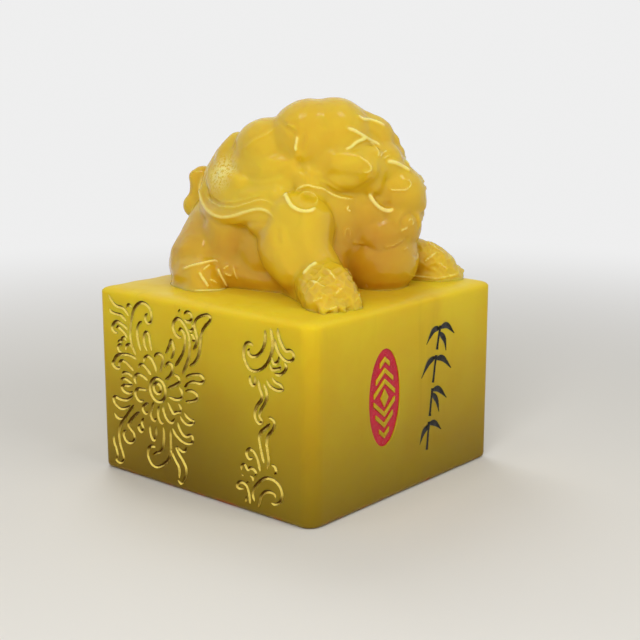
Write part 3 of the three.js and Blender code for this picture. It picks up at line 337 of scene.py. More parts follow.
# Net: a ridge's half width and wander as shares of the spacing, length of its bends, and fade
NET_LINE = 0.24
NET_WANDER = 0.9
NET_BEND = 4.5
NET_FADE = 2.2

# Outlooks that are tried at each point, their start in mm off the stone, and their least rise
LOOKS = 26
LOOK_START = 0.2
LOOK_RISE = 0.15

# Planes that the carving repeats across: the body's middle, and the middle of each turned head
MIRRORS = {
    "body": ((BODY_MIDDLE, 0, 0), (1, 0, 0)),
    "mother": ((13, -22, 0), (0.93, 0.35, 0)),
    "cub": ((7, -8, 0), (0.76, 0.65, 0)),
}

# Carving: spacing in mm of the pressed places, least likeness of facing, and faded share of a line
PRESS_STEP = 0.3
SAME_WAY = 0.2
LINE_TAPER = 0.18

# Carved lines with width and height in mm, below 0 for a cut, drawn in mm as the camera sees them
CARVED_LINES = {
    "body": [
        # Wings: the rim and the finer ridges inside it
        (1.8, 0.54, [(-19.1, 88.2), (-22.1, 85.1), (-24, 81.9), (-25.1, 78.5), (-25.7, 75.6), (-25.2, 72.6),
         (-24.2, 70.5), (-22.4, 68.9), (-20, 68.1), (-16.8, 68.4), (-13.6, 69.4), (-10.4, 70.2), (-8, 69.7),
         (-6.1, 68.1), (-5.1, 66.5)]),
        (1.3, 0.41, [(-24.1, 75.3), (-23.6, 73.2), (-22, 71.8), (-19.7, 70.8), (-16.5, 70.8), (-13, 71.8),
         (-9.8, 72.6), (-7.4, 72.1), (-5.8, 70.8)]),
        (1.2, 0.3, [(-23, 76.4), (-22.3, 74.2), (-20.2, 72.6), (-17, 72.1), (-13.5, 72.9), (-10.3, 73.7),
         (-7.7, 73.4)]),
        (2, -0.36, [(-24.5, 68.9), (-22.6, 67.3), (-20, 66), (-16.3, 65.7), (-12.5, 66.5), (-9.3, 67),
         (-7.5, 66)]),
        (1.6, 0.32, [(-14.9, 85.8), (-12.8, 87.1), (-10.7, 88.7), (-8.6, 89.5), (-6.5, 90.8),
         (-5.2, 92.1)]),
        (2.6, -0.31, [(-15.5, 86.6), (-17.1, 84.8), (-17.6, 82.7), (-16.3, 80.9), (-14, 79.3),
         (-10.8, 78.5), (-7.1, 78.7), (-3.9, 80.1), (-1.8, 81.9)]),
        # Shoulders: an open curl and the bands that run from it to the neck
        (1.7, 0.81, [(-3.2, 74.8), (-2.4, 72.6), (-1.1, 70.8), (1.1, 69.7), (3.5, 69.7), (5.3, 70.8)]),
        (1.3, 0.57, [(-0.8, 73.4), (-0.2, 75), (1.1, 76.1), (2.9, 76.6), (4.5, 76.1), (6.1, 75.8),
         (8.2, 74.8), (10.9, 73.4), (14.1, 72.9), (15.7, 73.2)]),
        (1.2, 0.41, [(0.3, 73.2), (1.6, 74.5), (3.7, 74.5), (5.3, 73.2), (5.1, 71.8), (3.7, 71.6)]),
        (1.4, 0.54, [(5.6, 78.5), (8.2, 76.9), (10.4, 75.6), (12.7, 74.5)]),
        (1.2, 0.41, [(-4.2, 73.4), (-3.2, 73.7), (-2.4, 74.5)]),
        (2, -0.27, [(-4.8, 65.4), (-5.1, 63), (-4.6, 60.3)]),
        # Hind feet: squared lines
        (1.3, 0.68, [(-31.2, 53.8), (-28, 54.9), (-24.7, 55.7), (-21.8, 56.2), (-21.3, 55.2)]),
        (1.3, 0.68, [(-26.4, 53.5), (-25.6, 51.9), (-24.6, 50.2), (-23.8, 48.9)]),
        (1.3, 0.68, [(-21.5, 54.6), (-20.8, 52.7), (-19.7, 50.8), (-18.9, 49.1)]),
        (1.3, 0.61, [(-28.4, 48.1), (-24.9, 48.1), (-21.4, 48.2), (-18.4, 48.6)]),
        (1.1, 0.54, [(-25.3, 53.8), (-24.2, 54.6), (-23.4, 55.2)]),
        (1.1, 0.54, [(-23.7, 51.3), (-22.7, 50.8), (-21.6, 50.2)]),
        (1.1, 0.54, [(-19.9, 53.8), (-19.1, 54.6), (-18.3, 54.9)]),
        (1.1, 0.54, [(-19.4, 53), (-18.4, 52.4), (-17.5, 52.4)]),
        (1.1, 0.47, [(-17.2, 54.9), (-16.7, 53), (-16, 51.1)]),
    ],
    "cub": [
        # Cub: brow, snout, nostrils and the curl on its cheek
        (1.7, 0.74, [(12.7, 91.6), (14.5, 91.1), (16.6, 90), (18.7, 88.7), (20.8, 87.7), (22.2, 86.4)]),
        (1.7, 0.74, [(12.4, 85.6), (14, 86.4), (15.3, 87.7), (17.1, 88.5), (18.2, 88.7)]),
        (1.7, 0.68, [(15.5, 95.2), (17.1, 93.9), (19.2, 93.6), (21.3, 92.9), (23.4, 91.8)]),
        (1.4, -0.23, [(18.2, 90.8), (20.3, 90), (21.9, 88.5), (22.9, 86.9)]),
        (1.3, 0.47, [(18.7, 87.9), (20.3, 86.9), (21.4, 85.3), (21.1, 83.7)]),
        (1.1, 0.54, [(21.7, 84), (22.7, 85.1), (24, 85.6)]),
        (1, 0.47, [(22.5, 83.5), (23.5, 84), (24.5, 84.5)]),
        (2, -0.27, [(14.6, 75.3), (16.7, 76.1), (18.5, 77.2), (19.9, 78.7), (20.4, 80.6), (20.4, 82.4),
         (19.8, 84)]),
        (1.3, 0.47, [(15.9, 84.5), (17.2, 83.5), (18.8, 82.4), (19.6, 80.9), (18.5, 80.1), (16.9, 80.3)]),
        (1.5, 0.61, [(0.3, 89.8), (0.1, 88.2), (-0.2, 86.4), (0.1, 85.3)]),
        (1.6, -0.27, [(1.7, 90.3), (2.2, 88.7), (1.6, 86.9), (1.1, 85.3)]),
        (2, -0.32, [(-4.9, 93.9), (-3.6, 92.9), (-2.3, 91.8), (-1, 90.8), (-0.2, 89.5)]),
        (1.2, 0.47, [(-2.8, 92.6), (-1.7, 92.1), (-0.7, 91.6)]),
        (3, -0.41, [(0.1, 84.5), (0.8, 82.2), (2.4, 80.1), (4.5, 78.7), (7.2, 77.4), (9.8, 75.8),
         (12.7, 74.8), (15.7, 74.8)]),
    ],
    "mother": [
        # Mother: forelock, brow, closed eye, nostril and mouth
        (1.8, 0.74, [(23.3, 82.7), (24.8, 82.8), (26.7, 82.2), (28.5, 81.1), (30.1, 80.1)]),
        (0.9, 0.57, [(23.9, 76.1), (25.5, 75.3), (27.6, 75.2), (29.2, 75.6), (30.1, 76.6), (29.7, 77.7),
         (28.1, 78)]),
        (1.8, 0.94, [(19.4, 75), (19.6, 73.2), (21, 71.3), (22.9, 70), (24.7, 69.7), (26, 70.5)]),
        (1.6, -0.32, [(20.4, 74.8), (21.2, 72.9), (23.1, 71.6), (25, 71.6)]),
        (1.5, -0.45, [(28, 64.9), (27.7, 66.8), (28.7, 68.6), (30.3, 69.2), (31.7, 68.1), (32.2, 66.2),
         (31.7, 64.6)]),
        (1.2, 0.54, [(27.5, 64.4), (28.5, 64.9), (29.6, 65.4)]),
        (1.1, 0.47, [(29.3, 66.5), (30.1, 67.6), (30.9, 66.8), (30.4, 65.7)]),
        (1.4, -0.32, [(14.1, 61.9), (15.7, 61.1), (17.9, 60.6), (20, 59.5), (21.9, 59), (23.2, 59.5),
         (25.4, 60), (27.5, 61.1), (29.1, 62.2), (30.7, 63)]),
        (1.3, 0.54, [(23, 59.8), (25.4, 60.3), (27.5, 61.4), (28.8, 62.3)]),
        (1.2, 0.54, [(14.7, 61.4), (16.3, 61.1), (18.1, 60.9)]),
        (1.4, -0.27, [(32, 61.9), (32.3, 59.2), (32.1, 57.1)]),
        (1.2, 0.54, [(13.8, 71.3), (13.3, 70.2), (14.4, 69.4)]),
        (1.1, 0.34, [(12.8, 62.5), (12.8, 64.1), (13.3, 65.2), (14.1, 64.4), (14.1, 62.5)]),
        (1.1, 0.41, [(28.1, 59.2), (29.7, 60)]),
    ],
    "paws": [
        # Near forepaw: the wrist and the knobbly edge
        (2.4, 0.81, [(5.6, 55.7), (3.7, 54.6), (2.6, 53.5), (1.8, 52.2)]),
        (1.3, 0.68, [(12.8, 54.1), (14.2, 53.3), (15, 51.6)]),
        (1.3, 0.68, [(15, 51.1), (16.1, 49.7), (16.4, 48.3)]),
        (1.3, 0.68, [(16.4, 48.1), (17.2, 46.4), (17.5, 44.5)]),
        (1, 0.54, [(3.2, 50.8), (4.8, 50.2), (6.4, 49.4), (7.5, 48.9)]),
        (1, 0.54, [(6.7, 52.2), (5.6, 50.8), (4.2, 49.1), (3.4, 48.1)]),
        (1, 0.54, [(8, 54.3), (8.8, 53), (9.9, 51.6), (10.7, 50.8)]),
        (1, 0.47, [(4, 45), (5.6, 45.6), (7.2, 46.4)]),
        (1, 0.47, [(7.5, 42.8), (9.1, 43.1), (10.7, 43.6)]),
        (1, 0.47, [(9.9, 46.7), (11, 48.1), (12.3, 48.9)]),
        # Far forepaw: its base
        (1.2, 0.47, [(28.7, 53.5), (30.8, 52.4), (34.3, 51.9), (37.6, 51.6), (41.1, 52.2), (43.7, 53.3)]),
        (1.1, 0.54, [(34.7, 61.4), (36.3, 60), (38, 59), (39.3, 58.1)]),
        (1, 0.54, [(34, 56), (35.6, 57.3), (37.2, 58.4)]),
        (1, 0.54, [(37.8, 56), (39.1, 54.9), (40.2, 54.1)]),
        (1.2, 0.54, [(38.2, 60.3), (39.8, 59), (41.5, 57.3), (42.9, 55.7), (44.2, 54.6)]),
    ],
}

SHARP_EDGE = math.radians(38)

# Wear: scale, detail, roughness, distortion and stretch of its noise, and the range that shows
HANDLED = {
    "Smudge": {"noise": (70, 4, 0.6, 0.4), "range": (0.38, 0.68)},
    "Scratch": {"noise": (260, 3, 0.55, 0, (1, 1, 0.06)), "range": (0.62, 0.74)},
}

# Zones of painted shade and painted highlight, in mm from the stone's axis and foot: olive and amber painted
# shade, and a mottled painted highlight on the wing
PAINTED_LIGHT_ZONES = [
    {"colour": "olive_vein_and_shade", "centre": (-40, 6, 4), "reach": 42, "share": 0.55},
    {"colour": "amber_shade", "centre": (4, -22, 62), "reach": 24, "share": 0.75},
    {"colour": "amber_shade", "centre": (-19, 4, 60), "reach": 16, "share": 0.5},
    {"colour": "amber_shade", "centre": (-19, 20, 62), "reach": 18, "share": 0.5},
    {"colour": "edge", "centre": (-13, 14, 79.6), "reach": 7, "share": 0.9, "mottled": True},
]
# Stone finishes; the knob's share of amber is painted shade over the whole knob
STONE_FINISHES = {
    "satin stone": {"rough": (0.34, 0.46), "specular": 0.12, "scatter": 1, "knob_shade_share": 0},
    "polished stone": {"rough": (0.13, 0.22), "specular": 0.36, "scatter": 1.5, "knob_shade_share": 0.16},
}

# Relief of the stone in metres
STONE_WAVE = 0.00005
SCRATCH_DEPTH = 0.00001

# Paints: noise and range of the thin places, tints there, painted shade on the walls that face down,
# smudges, and lumps
PAINTS = {
    "gold paint": {
        "colour": "gold", "noise": (900, 3, 0.6), "thin": (0.42, 0.7, 0, 0.35), "tint": "c08a1c",
        # The gold's under colour is painted shade, dark brown where a groove's wall faces down
        "under": "5a3c06", "smudges": 4, "rough": (0.22, 0.45), "lumps": (1600, 0.00008),
        "shader": {"Metallic": 1}},
    "red paint": {
        "colour": "red", "noise": (420, 3, 0.55, 0.4), "thin": (0.42, 0.72, 0, 0.55), "tint": "d01838",
        "smudges": 3, "rough": (0.18, 0.4), "lumps": (700, 0.00025), "shader": {"Specular IOR Level": 0.3}},
    "ink": {
        "colour": "ink", "noise": (800, 3, 0.6), "thin": (0.5, 0.75, 0, 0.5), "tint": "3d2a12",
        "smudges": 4, "rough": (0.45, 0.7), "lumps": (1500, 0.0001), "shader": {}},
}

# Stage: brightness of the backdrop, and the lamps round a point on the seal's axis, in metres
WHITE = (1, 1, 1, 1)
BACKDROP = 0.86
LAMP_AIM = 0.05
LAMP_DISTANCE = 0.5
LAMPS = [
    {"name": "left", "azimuth": -60, "elevation": 30, "energy": 1.38},
    {"name": "right", "azimuth": 0, "elevation": 35, "energy": 0.62},
    {"name": "back", "azimuth": 150, "elevation": 50, "energy": 0.72},
    {"name": "left_glint", "azimuth": -100, "elevation": 68, "energy": 0.09, "size": 0.07, "glints": True},
    {"name": "right_glint", "azimuth": 10, "elevation": 70, "energy": 0.09, "size": 0.07, "glints": True},
]


def length_setting(name, about, millimetres, least=0):
    """Setting that holds a length, given here in mm."""
    return FloatProperty(name=name, description=about, default=millimetres * MM, min=least * MM,
                         unit="LENGTH")


def colour_setting(name, about, code):
    return FloatVectorProperty(name=name, description=about, subtype="COLOR", size=3, default=paint(code),
                               min=0, max=1)


def turn_setting(name, about, degrees):
    return FloatProperty(name=name, description=about, default=math.radians(degrees), unit="ROTATION")


def passes_setting(name, about, count):
    return IntProperty(name=name, description=about, default=count, min=0)


class SealBlockSettings(bpy.types.PropertyGroup):
    """Sizes of the block"""

    front_radius: length_setting("Front radius", "Rounding of the upright between the two worked sides", 4)
    upright_radius: length_setting("Upright radius", "Rounding of the other three uprights", 2.2)
    foot_bevel: length_setting("Foot bevel", "Softened edge round the printing face", 1.4)
    top_inset: length_setting("Top inset", "How far in from the side the soft top edge ends", 5)
    top_drop: length_setting("Top drop", "How far below the seat the soft top edge starts", 1.6)
    wave: length_setting("Wave", "Height of the slow hand-worked waves of the top", 0.22)
    grid: length_setting("Grid", "Spacing of the block's surface grid", 1.5, 0.5)
    print_border: length_setting("Print border", "Rim left standing round the printing face", 3.2)
    print_depth: length_setting("Print depth", "Depth of the cut ground of the printing face", 1.1)
    fret_line: length_setting("Fret line", "Width of a raised line of the printing face", 2.6)
    fret_margin: length_setting("Fret margin", "Cut ground left round each square spiral", 2.4)


class SealPaintSettings(bpy.types.PropertyGroup):
    """Sizes and colours of the engraved lines, the oval panel and their paints"""

    groove_width: length_setting("Groove width", "Width of an engraved line at the stone's surface", 0.94)
    groove_depth: length_setting("Groove depth", "Depth of an engraved line", 0.6)
    step: length_setting("Line step", "Spacing of the sections along an engraved line", 0.45, 0.1)
    oval_across: length_setting("Oval across", "Panel's centre from the left edge of its side", 27.8)
    oval_up: length_setting("Oval up", "Panel's centre above the printing face", 27.2)
    oval_half_width: length_setting("Oval half width", "Half of the panel's width", 6.3)
    oval_half_height: length_setting("Oval half height", "Half of the panel's height", 12.6)
    oval_depth: length_setting("Oval depth", "Depth of the panel", 0.9)
    bar_line: length_setting("Bar line", "Upright width of the raised chevrons", 1.15)
    chevron_pitch: length_setting("Chevron pitch", "From one chevron to the next", 2.8, 1)
    chevron_slope: FloatProperty(
        name="Chevron slope", description="Fall of a chevron's arms for each length along", default=0.8)
    first_tip: length_setting("First tip", "Tip of the innermost chevron from the panel's centre", 4.9)
    panel_margin: length_setting("Panel margin", "Ground between the chevrons and the oval's edge", 1.6)
    gold: colour_setting("Gold", "Colour of the gold paint", "f6dc6a")
    red: colour_setting("Red", "Colour of the red paint", "b80d2c")
    ink: colour_setting("Ink", "Colour of the ink", "0b0907")


class SealStoneSettings(bpy.types.PropertyGroup):
    """Colours of the stone, with the colours of its painted shade and painted highlights"""

    bright: colour_setting("Bright", "Colour of the clear stone", "e3c627")
    # Amber is painted shade: it darkens the hollows, the amber zones and the whole knob
    cloud: colour_setting("Cloud", "Colour of the clouds in the stone", "deba22")
    amber_shade: colour_setting("Amber", "Colour in the hollows", "ba8218")
    # Olive is the colour of the real dull veins, and also painted shade towards the foot and in a zone low
    # on the left side
    olive_vein_and_shade: colour_setting("Olive", "Colour of the dull veins and the foot", "6e560c")
    # Edge is a painted highlight on the carved ridges and, mottled, on the wing
    edge: colour_setting("Edge", "Colour of the carved ridges, where the stone is thin", "faee98")
    stain: colour_setting("Stain", "Colour of the seal paste left along the foot", "b3420f")
    scatter: length_setting("Scatter", "How far light travels in the stone", 2)


class SealKnobSettings(bpy.types.PropertyGroup):
    """How finely the knob is carved"""

    grain: length_setting("Grain", "Size of the smallest facet of the carving", 0.45, 0.2)
    softening: passes_setting("Softening", "Passes that round the joined forms", 13)
    polish: passes_setting("Polish", "Passes that round the carved lines", 1)
    net_size: length_setting("Net size", "Spacing of the fine ridges on the forepaws", 2.1, 0.5)
    net_height: length_setting("Net height", "Height of the fine ridges on the forepaws", 0.4)
    facet: length_setting("Facet", "Size of the shallow facets that the tools left", 3.4, 0.5)
    facet_depth: length_setting("Facet depth", "Depth of those facets", 0.1)
    hollow_reach: length_setting("Hollow reach", "How near stone has to be to close off an outlook", 14, 0.1)
    # Softens the painted shade in the hollows
    hollow_blur: passes_setting("Hollow blur", "Passes that soften the tint of the hollows", 6)


class SealStageSettings(bpy.types.PropertyGroup):
    """Camera and floor"""

    azimuth: turn_setting("Azimuth", "Turn of the camera round the seal", -49.5)
    elevation: turn_setting("Elevation", "Height of the camera above the horizon", 12.34)
    distance: length_setting("Distance", "Camera to the point it looks at", 339.75)
    aim_aside: length_setting("Aim aside", "Point looked at, to the right of the seal's axis", 6.1125)
    aim_height: length_setting("Aim height", "Height of the point looked at", 40.05)
    lens: FloatProperty(name="Lens", description="Focal length in mm", default=70.54)
    floor: colour_setting("Floor", "Colour of the floor", "e4e1da")


def catmull(before, start, end, after, share):
    """Point on the smooth curve from start to end."""
    square, cube = share ** 2, share ** 3
    return (start * 2 + (end - before) * share + (before * 2 - start * 5 + end * 4 - after) * square
            + (start * 3 - before - end * 3 + after) * cube) / 2


def smooth_line(points, step):
    """Points about a step apart on the smooth curve through the given ones."""
    controls = [Vector(point) for point in points]
    controls = [controls[0] * 2 - controls[1], *controls, controls[-1] * 2 - controls[-2]]
    line = []
    for place in range(1, len(controls) - 2):
        before, start, end, after = controls[place - 1:place + 3]
        pieces = max(1, math.ceil((end - start).length / step))
        line += [catmull(before, start, end, after, piece / pieces) for piece in range(pieces)]
    return [*line, controls[-2]]


def add_ring_face(bm, ring):
    return bm.faces.new([bm.verts.new(point) for point in ring])


def sweep(rings):
    """Closed shape through rings of points: a face extruded from each ring to the next."""
    bm = bmesh.new()
    face = add_ring_face(bm, rings[0])
    for place, ring in enumerate(rings[1:]):
        made = bmesh.ops.extrude_face_region(bm, geom=[face])
        if place:
            bmesh.ops.delete(bm, geom=[face], context="FACES_ONLY")
        face = next(item for item in made["geom"] if isinstance(item, bmesh.types.BMFace))
        for vert, point in zip(face.verts, ring):
            vert.co = point
    bmesh.ops.recalc_face_normals(bm, faces=bm.faces)
    return bm


def box_shape(size, middle=(0, 0, 0)):
    bm = bmesh.new()
    bmesh.ops.create_cube(bm, size=1)
    bmesh.ops.scale(bm, vec=size, verts=bm.verts)
    bmesh.ops.translate(bm, vec=middle, verts=bm.verts)
    return bm


def upright_edges(bm):
    return [edge for edge in bm.edges if abs(edge.verts[0].co.z - edge.verts[1].co.z) > 1]


def round_edges(bm, edges, radius, segments):
    bmesh.ops.bevel(bm, geom=edges, offset=radius, offset_type="OFFSET", segments=segments, profile=0.5,
                    affect="EDGES", material=-1)


def smooth_all(bm, passes, factor):
    for _ in range(passes):
        bmesh.ops.smooth_vert(bm, verts=bm.verts, factor=factor, use_axis_x=True, use_axis_y=True,
                              use_axis_z=True)


def mesh_object(name, bm):
    mesh = bpy.data.meshes.new(name)
    bm.to_mesh(mesh)
    bm.free()
    made = bpy.data.objects.new(name, mesh)
    bpy.context.scene.collection.objects.link(made)
    return made


def remove_object(piece):
    mesh = piece.data
    bpy.data.objects.remove(piece)
    bpy.data.meshes.remove(mesh)


def take_result(piece):
    """bmesh of the piece with its modifiers applied. The piece itself is removed."""
    bm = bmesh.new()
    bm.from_object(piece, bpy.context.evaluated_depsgraph_get())
    remove_object(piece)
    return bm


def cut_away(bm, cutters):
    """Shape that is left when the cutters are taken from it."""
    target = mesh_object("stone_blank", bm)
    tools = [mesh_object("cutter", cutter) for cutter in cutters]
    for tool in tools:
        cut = target.modifiers.new("cut", "BOOLEAN")
        cut.operation = "DIFFERENCE"
        cut.solver = "MANIFOLD"
        cut.object = tool
    result = take_result(target)
    for tool in tools:
        remove_object(tool)
    return result


def finish_piece(name, bm, material, nodes):
    """Puts a shape in mm into the frame as a piece with its finish."""
    if not bm.faces:
        raise RuntimeError(f"{name} has no faces")
    bmesh.ops.scale(bm, vec=(MM, MM, MM), verts=bm.verts)
    piece = mesh_object(name, bm)
    piece.data.materials.append(material)
    piece.data.shade_smooth()
    piece.data.set_sharp_from_angle(angle=SHARP_EDGE)
    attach(piece, BODY)
    if nodes:
        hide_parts(*nodes)


def numbered(stem, place):
    return f"{stem}_{place + 1:02d}"


# Sides of the block, seen from outside: across runs to the right, and out away from the stone
def left_side(across, up, out):
    return Vector((BLOCK_LOW.x - out, BLOCK_HIGH.y - across, up))


def front_side(across, up, out):
    return Vector((BLOCK_LOW.x + across, BLOCK_LOW.y - out, up))


# Swells: the share of the full width along each kind of stroke
def line_swell(share, length):
    grown = min(1, min(share, 1 - share) * length / TAPER_LENGTH)
    return (0.3 + 0.7 * math.sin(grown * math.pi / 2)) * (1 + 0.1 * math.sin(share * 9 + length))


def leaf_swell(share, _length):
    return 0.35 + 1.75 * math.sin(math.pi * share ** 0.72) ** 1.3 * (1 - 0.35 * share)


def stem_swell(share, _length):
    return 1 + 0.45 * abs(2 * share - 1) ** 4


# Sections across a groove, as places aside and out from the stone's surface
def cutter_section(half, depth, _seed):
    return [(-half, CUTTER_RISE), (-half, 0), (0, -depth), (half, 0), (half, CUTTER_RISE)]


def coat_section(half, depth, seed):
    """Paint that lines a groove, thin at the rims and dished in the middle."""
    half *= 1 - 0.05 * (1 + noise.noise(seed))
    dish = depth * (0.62 + 0.1 * noise.noise(seed + Vector((5, 0, 0))))
    return [(-half, -COAT_SINK), (-half * 0.55, -dish * 0.62), (0, -dish), (half * 0.55, -dish * 0.62),
            (half, -COAT_SINK), (0, -depth * 0.97)]


def groove(side, points, settings, swell, section_of):
    """Groove along a drawn line, or the paint in it."""
    line = smooth_line(points, in_mm(settings.step))
    length = sum((end - start).length for start, end in zip(line, line[1:]))
    rings = []
    walked = 0
    for place, point in enumerate(line):
        before = line[max(place - 1, 0)]
        after = line[min(place + 1, len(line) - 1)]
        walked += (point - before).length
        along = (after - before).normalized()
        across = Vector((-along.y, along.x))
        size = swell(walked / length, length)
        half = in_mm(settings.groove_width) / 2 * size
        depth = in_mm(settings.groove_depth) * min(1, 0.45 + 0.55 * size)
        seed = Vector((point.x, point.y, length)) * 1.7
        rings.append([side(*(point + across * aside), out) for aside, out in section_of(half, depth, seed)])
    return sweep(rings)


def ring_groove(settings, ring, section_of):
    """Groove that runs endlessly round an oval, or the paint in it."""
    half_across, half_up = ring["half"]
    centre_across, centre_up = ring["centre"]
    section = section_of(in_mm(settings.groove_width) / 2, in_mm(settings.groove_depth), Vector((0, 0, 0)))
    bm = bmesh.new()
    face = add_ring_face(bm, [(1 + aside / half_across, 0, out) for aside, out in section])
    bmesh.ops.spin(bm, geom=[*face.edges, *face.verts], cent=(0, 0, 0), axis=(0, 0, 1), dvec=(0, 0, 0),
                   angle=2 * math.pi, steps=72, use_merge=True, use_duplicate=False)
    bmesh.ops.delete(bm, geom=[face], context="FACES_ONLY")
    bmesh.ops.remove_doubles(bm, verts=bm.verts, dist=1e-5)
    for vert in bm.verts:
        x, y, out = vert.co
        vert.co = left_side(centre_across + x * half_across, centre_up + y * half_up, out)
    bmesh.ops.recalc_face_normals(bm, faces=bm.faces)
    return bm


def gold_strokes():
    """Name and drawn line of each gold stroke."""
    return [(numbered(stem, place), line) for stem, lines in GOLD_LINES.items()
            for place, line in enumerate(lines)]


def bamboo_strokes():
    """Drawn line and swell of each stroke of the sprig, joint by joint."""
    return [[(joint["stem"], stem_swell), *((leaf, leaf_swell) for leaf in joint["leaves"])]
            for joint in BAMBOO_JOINTS]


def panel_prism(settings, outline, low, high):
    """Outline on the front side, given about the panel's centre, extruded square to the side."""
    across, up = in_mm(settings.oval_across), in_mm(settings.oval_up)
    return sweep([[front_side(across + x, up + y, out) for x, y in outline] for out in (low, high)])


def oval_outline(settings, grow):
    half_width = in_mm(settings.oval_half_width) + grow
    half_height = in_mm(settings.oval_half_height) + grow
    turns = (2 * math.pi * step / OVAL_STEPS for step in range(OVAL_STEPS))
    return [(half_width * math.cos(turn), half_height * math.sin(turn)) for turn in turns]


def bar_outlines(settings, grow):
    """Outlines of the raised design of the panel: chevrons above and below a lozenge."""
    half_height = in_mm(settings.oval_half_height)
    margin = in_mm(settings.panel_margin)
    wide, tall = 1.5 + grow * 1.2, 2.3 + grow * 1.8
    outlines = [[(wide, 0), (0, tall), (-wide, 0), (0, -tall)]]
    tip = in_mm(settings.first_tip)
    while tip < half_height - margin:
        half = in_mm(settings.oval_half_width) * math.sqrt(1 - (tip / half_height) ** 2) - margin + grow
        rise = grow * math.hypot(1, settings.chevron_slope)
        drop = half * settings.chevron_slope
        top, bottom = tip + rise, tip - in_mm(settings.bar_line) - rise
        shape = [(-half, top - drop), (0, top), (half, top - drop), (half, bottom - drop), (0, bottom),
                 (-half, bottom - drop)]
        outlines += [shape, [(x, -y) for x, y in shape]]
        tip += in_mm(settings.chevron_pitch)
    return outlines


def panel_ground(settings, low, high, clearance):
    """Ground of the oval panel round its raised bars, shrunk by a clearance."""
    oval = panel_prism(settings, oval_outline(settings, -clearance), low, high)
    return cut_away(oval, [panel_prism(settings, outline, low - BAR_PAST, high + BAR_PAST)
                           for outline in bar_outlines(settings, clearance)])


def print_ground(settings):
    """Cutter of the printing face: a pocket with a square spiral left in each quarter."""
    border, depth = in_mm(settings.print_border), in_mm(settings.print_depth)
    line, margin = in_mm(settings.fret_line), in_mm(settings.fret_margin)
    quarter = [BLOCK_SIZE.x / 2 - border, BLOCK_SIZE.y / 2 - border]
    pitch = [(size - 2 * margin - line) / span for size, span in zip(quarter, FRET_SPAN)]
    pocket = box_shape((2 * quarter[0], 2 * quarter[1], 2 * depth))
    round_edges(pocket, upright_edges(pocket), border, 6)
    frets = []
    for start, end in zip(FRET_PATH, FRET_PATH[1:]):
        corners = [[quarter[axis] / 2 + (place[axis] - FRET_MIDDLE[axis]) * pitch[axis] for axis in (0, 1)]
                   for place in (start, end)]
        size = [abs(corners[1][axis] - corners[0][axis]) + line for axis in (0, 1)]
        middle = [(corners[0][axis] + corners[1][axis]) / 2 for axis in (0, 1)]
        for side_x, side_y in QUARTERS:
            frets.append(box_shape((*size, 4 * depth), (side_x * middle[0], side_y * middle[1], 0)))
    return cut_away(pocket, frets)


def corner_radius(settings, place):
    """Rounding in mm of the upright nearest to a place."""
    return in_mm(settings.front_radius if max(place.x, place.y) < 0 else settings.upright_radius)


def side_reach(settings, place):
    """Distance in from the block's sides, which are round at the uprights."""
    radius = corner_radius(settings, place)
    x = abs(place.x) - (BLOCK_SIZE.x / 2 - radius)
    y = abs(place.y) - (BLOCK_SIZE.y / 2 - radius)
    return radius - (math.hypot(x, y) if x > 0 and y > 0 else max(x, y))


def cut_grid(bm, settings):
    """Splits the block's faces on a fine grid, closer along the soft top edge."""
    grid, inset = in_mm(settings.grid), in_mm(settings.top_inset)
    near_edge = [inset * (1 - math.cos(math.radians(angle))) for angle in EDGE_ANGLES]
    for axis in range(3):
        low, high = BLOCK_LOW[axis], BLOCK_HIGH[axis]
        stops = {low + step * grid for step in range(1, int(BLOCK_SIZE[axis] / grid))}
        if axis < 2:
            stops |= {low + edge for edge in near_edge} | {high - edge for edge in near_edge}
        normal = Vector([float(way == axis) for way in range(3)])
        for stop in sorted(stops):
            bmesh.ops.bisect_plane(bm, geom=[*bm.verts, *bm.edges, *bm.faces], dist=1e-4,
                                   plane_co=normal * stop, plane_no=normal)


def block_blank(settings):
    """Block with rounded uprights and a soft, slightly waved top."""
    bm = box_shape(BLOCK_SIZE, (BLOCK_LOW + BLOCK_HIGH) / 2)
    uprights = upright_edges(bm)
    for radius in (in_mm(settings.front_radius), in_mm(settings.upright_radius)):
        corners = [edge for edge in uprights if corner_radius(settings, edge.verts[0].co) == radius]
        round_edges(bm, corners, radius, 8)
        uprights = [edge for edge in uprights if edge.is_valid]
    foot = [edge for edge in bm.edges if all(vert.co.z < BLOCK_LOW.z + FOOT_BAND for vert in edge.verts)]
    round_edges(bm, foot, in_mm(settings.foot_bevel), 3)
    cut_grid(bm, settings)
    for vert in bm.verts:
        if vert.co.z > BLOCK_HIGH.z - TOP_BAND:
            share = min(1, max(0, side_reach(settings, vert.co) / in_mm(settings.top_inset)))
            level = math.sqrt(max(0, 1 - (1 - share) ** 2))
            vert.co.z -= in_mm(settings.top_drop) * (1 - level)
            vert.co.z += in_mm(settings.wave) * level * noise.fractal(vert.co / WAVE_LENGTH, 1, 2, 3)
    return bm


def add_ball(bm, centre, half, fine):
    place = Matrix.Translation(centre) @ Matrix.Diagonal((*half, 1))
    bmesh.ops.create_icosphere(bm, subdivisions=fine, radius=1, matrix=place)


def add_form(bm, form):
    """Ball, or round-ended limb as a close row of balls."""
    if len(form) == 1:
        add_ball(bm, form[0][:3], form[0][3:], 3)
        return
    least = min(place[3] for place in form)
    for x, y, z, radius in smooth_line(form, least * 0.3):
        add_ball(bm, (x, y, z), (radius, radius, radius), 2)


def flip(place):
    return (2 * BODY_MIDDLE - place[0], *place[1:])


def add_toes(bm, paw):
    for toe in range(paw["toes"]):
        aside = (toe - (paw["toes"] - 1) / 2) * paw["pitch"]
        back = paw["sweep"] * aside ** 2
        root, tip, radius = Vector(paw["root"]), Vector(paw["tip"]), paw["radius"]
        start = (root.x + aside * TOE_TAPER, root.y + back, root.z, radius)
        add_form(bm, [start, (tip.x + aside, tip.y + back, tip.z, radius * TOE_TAPER)])


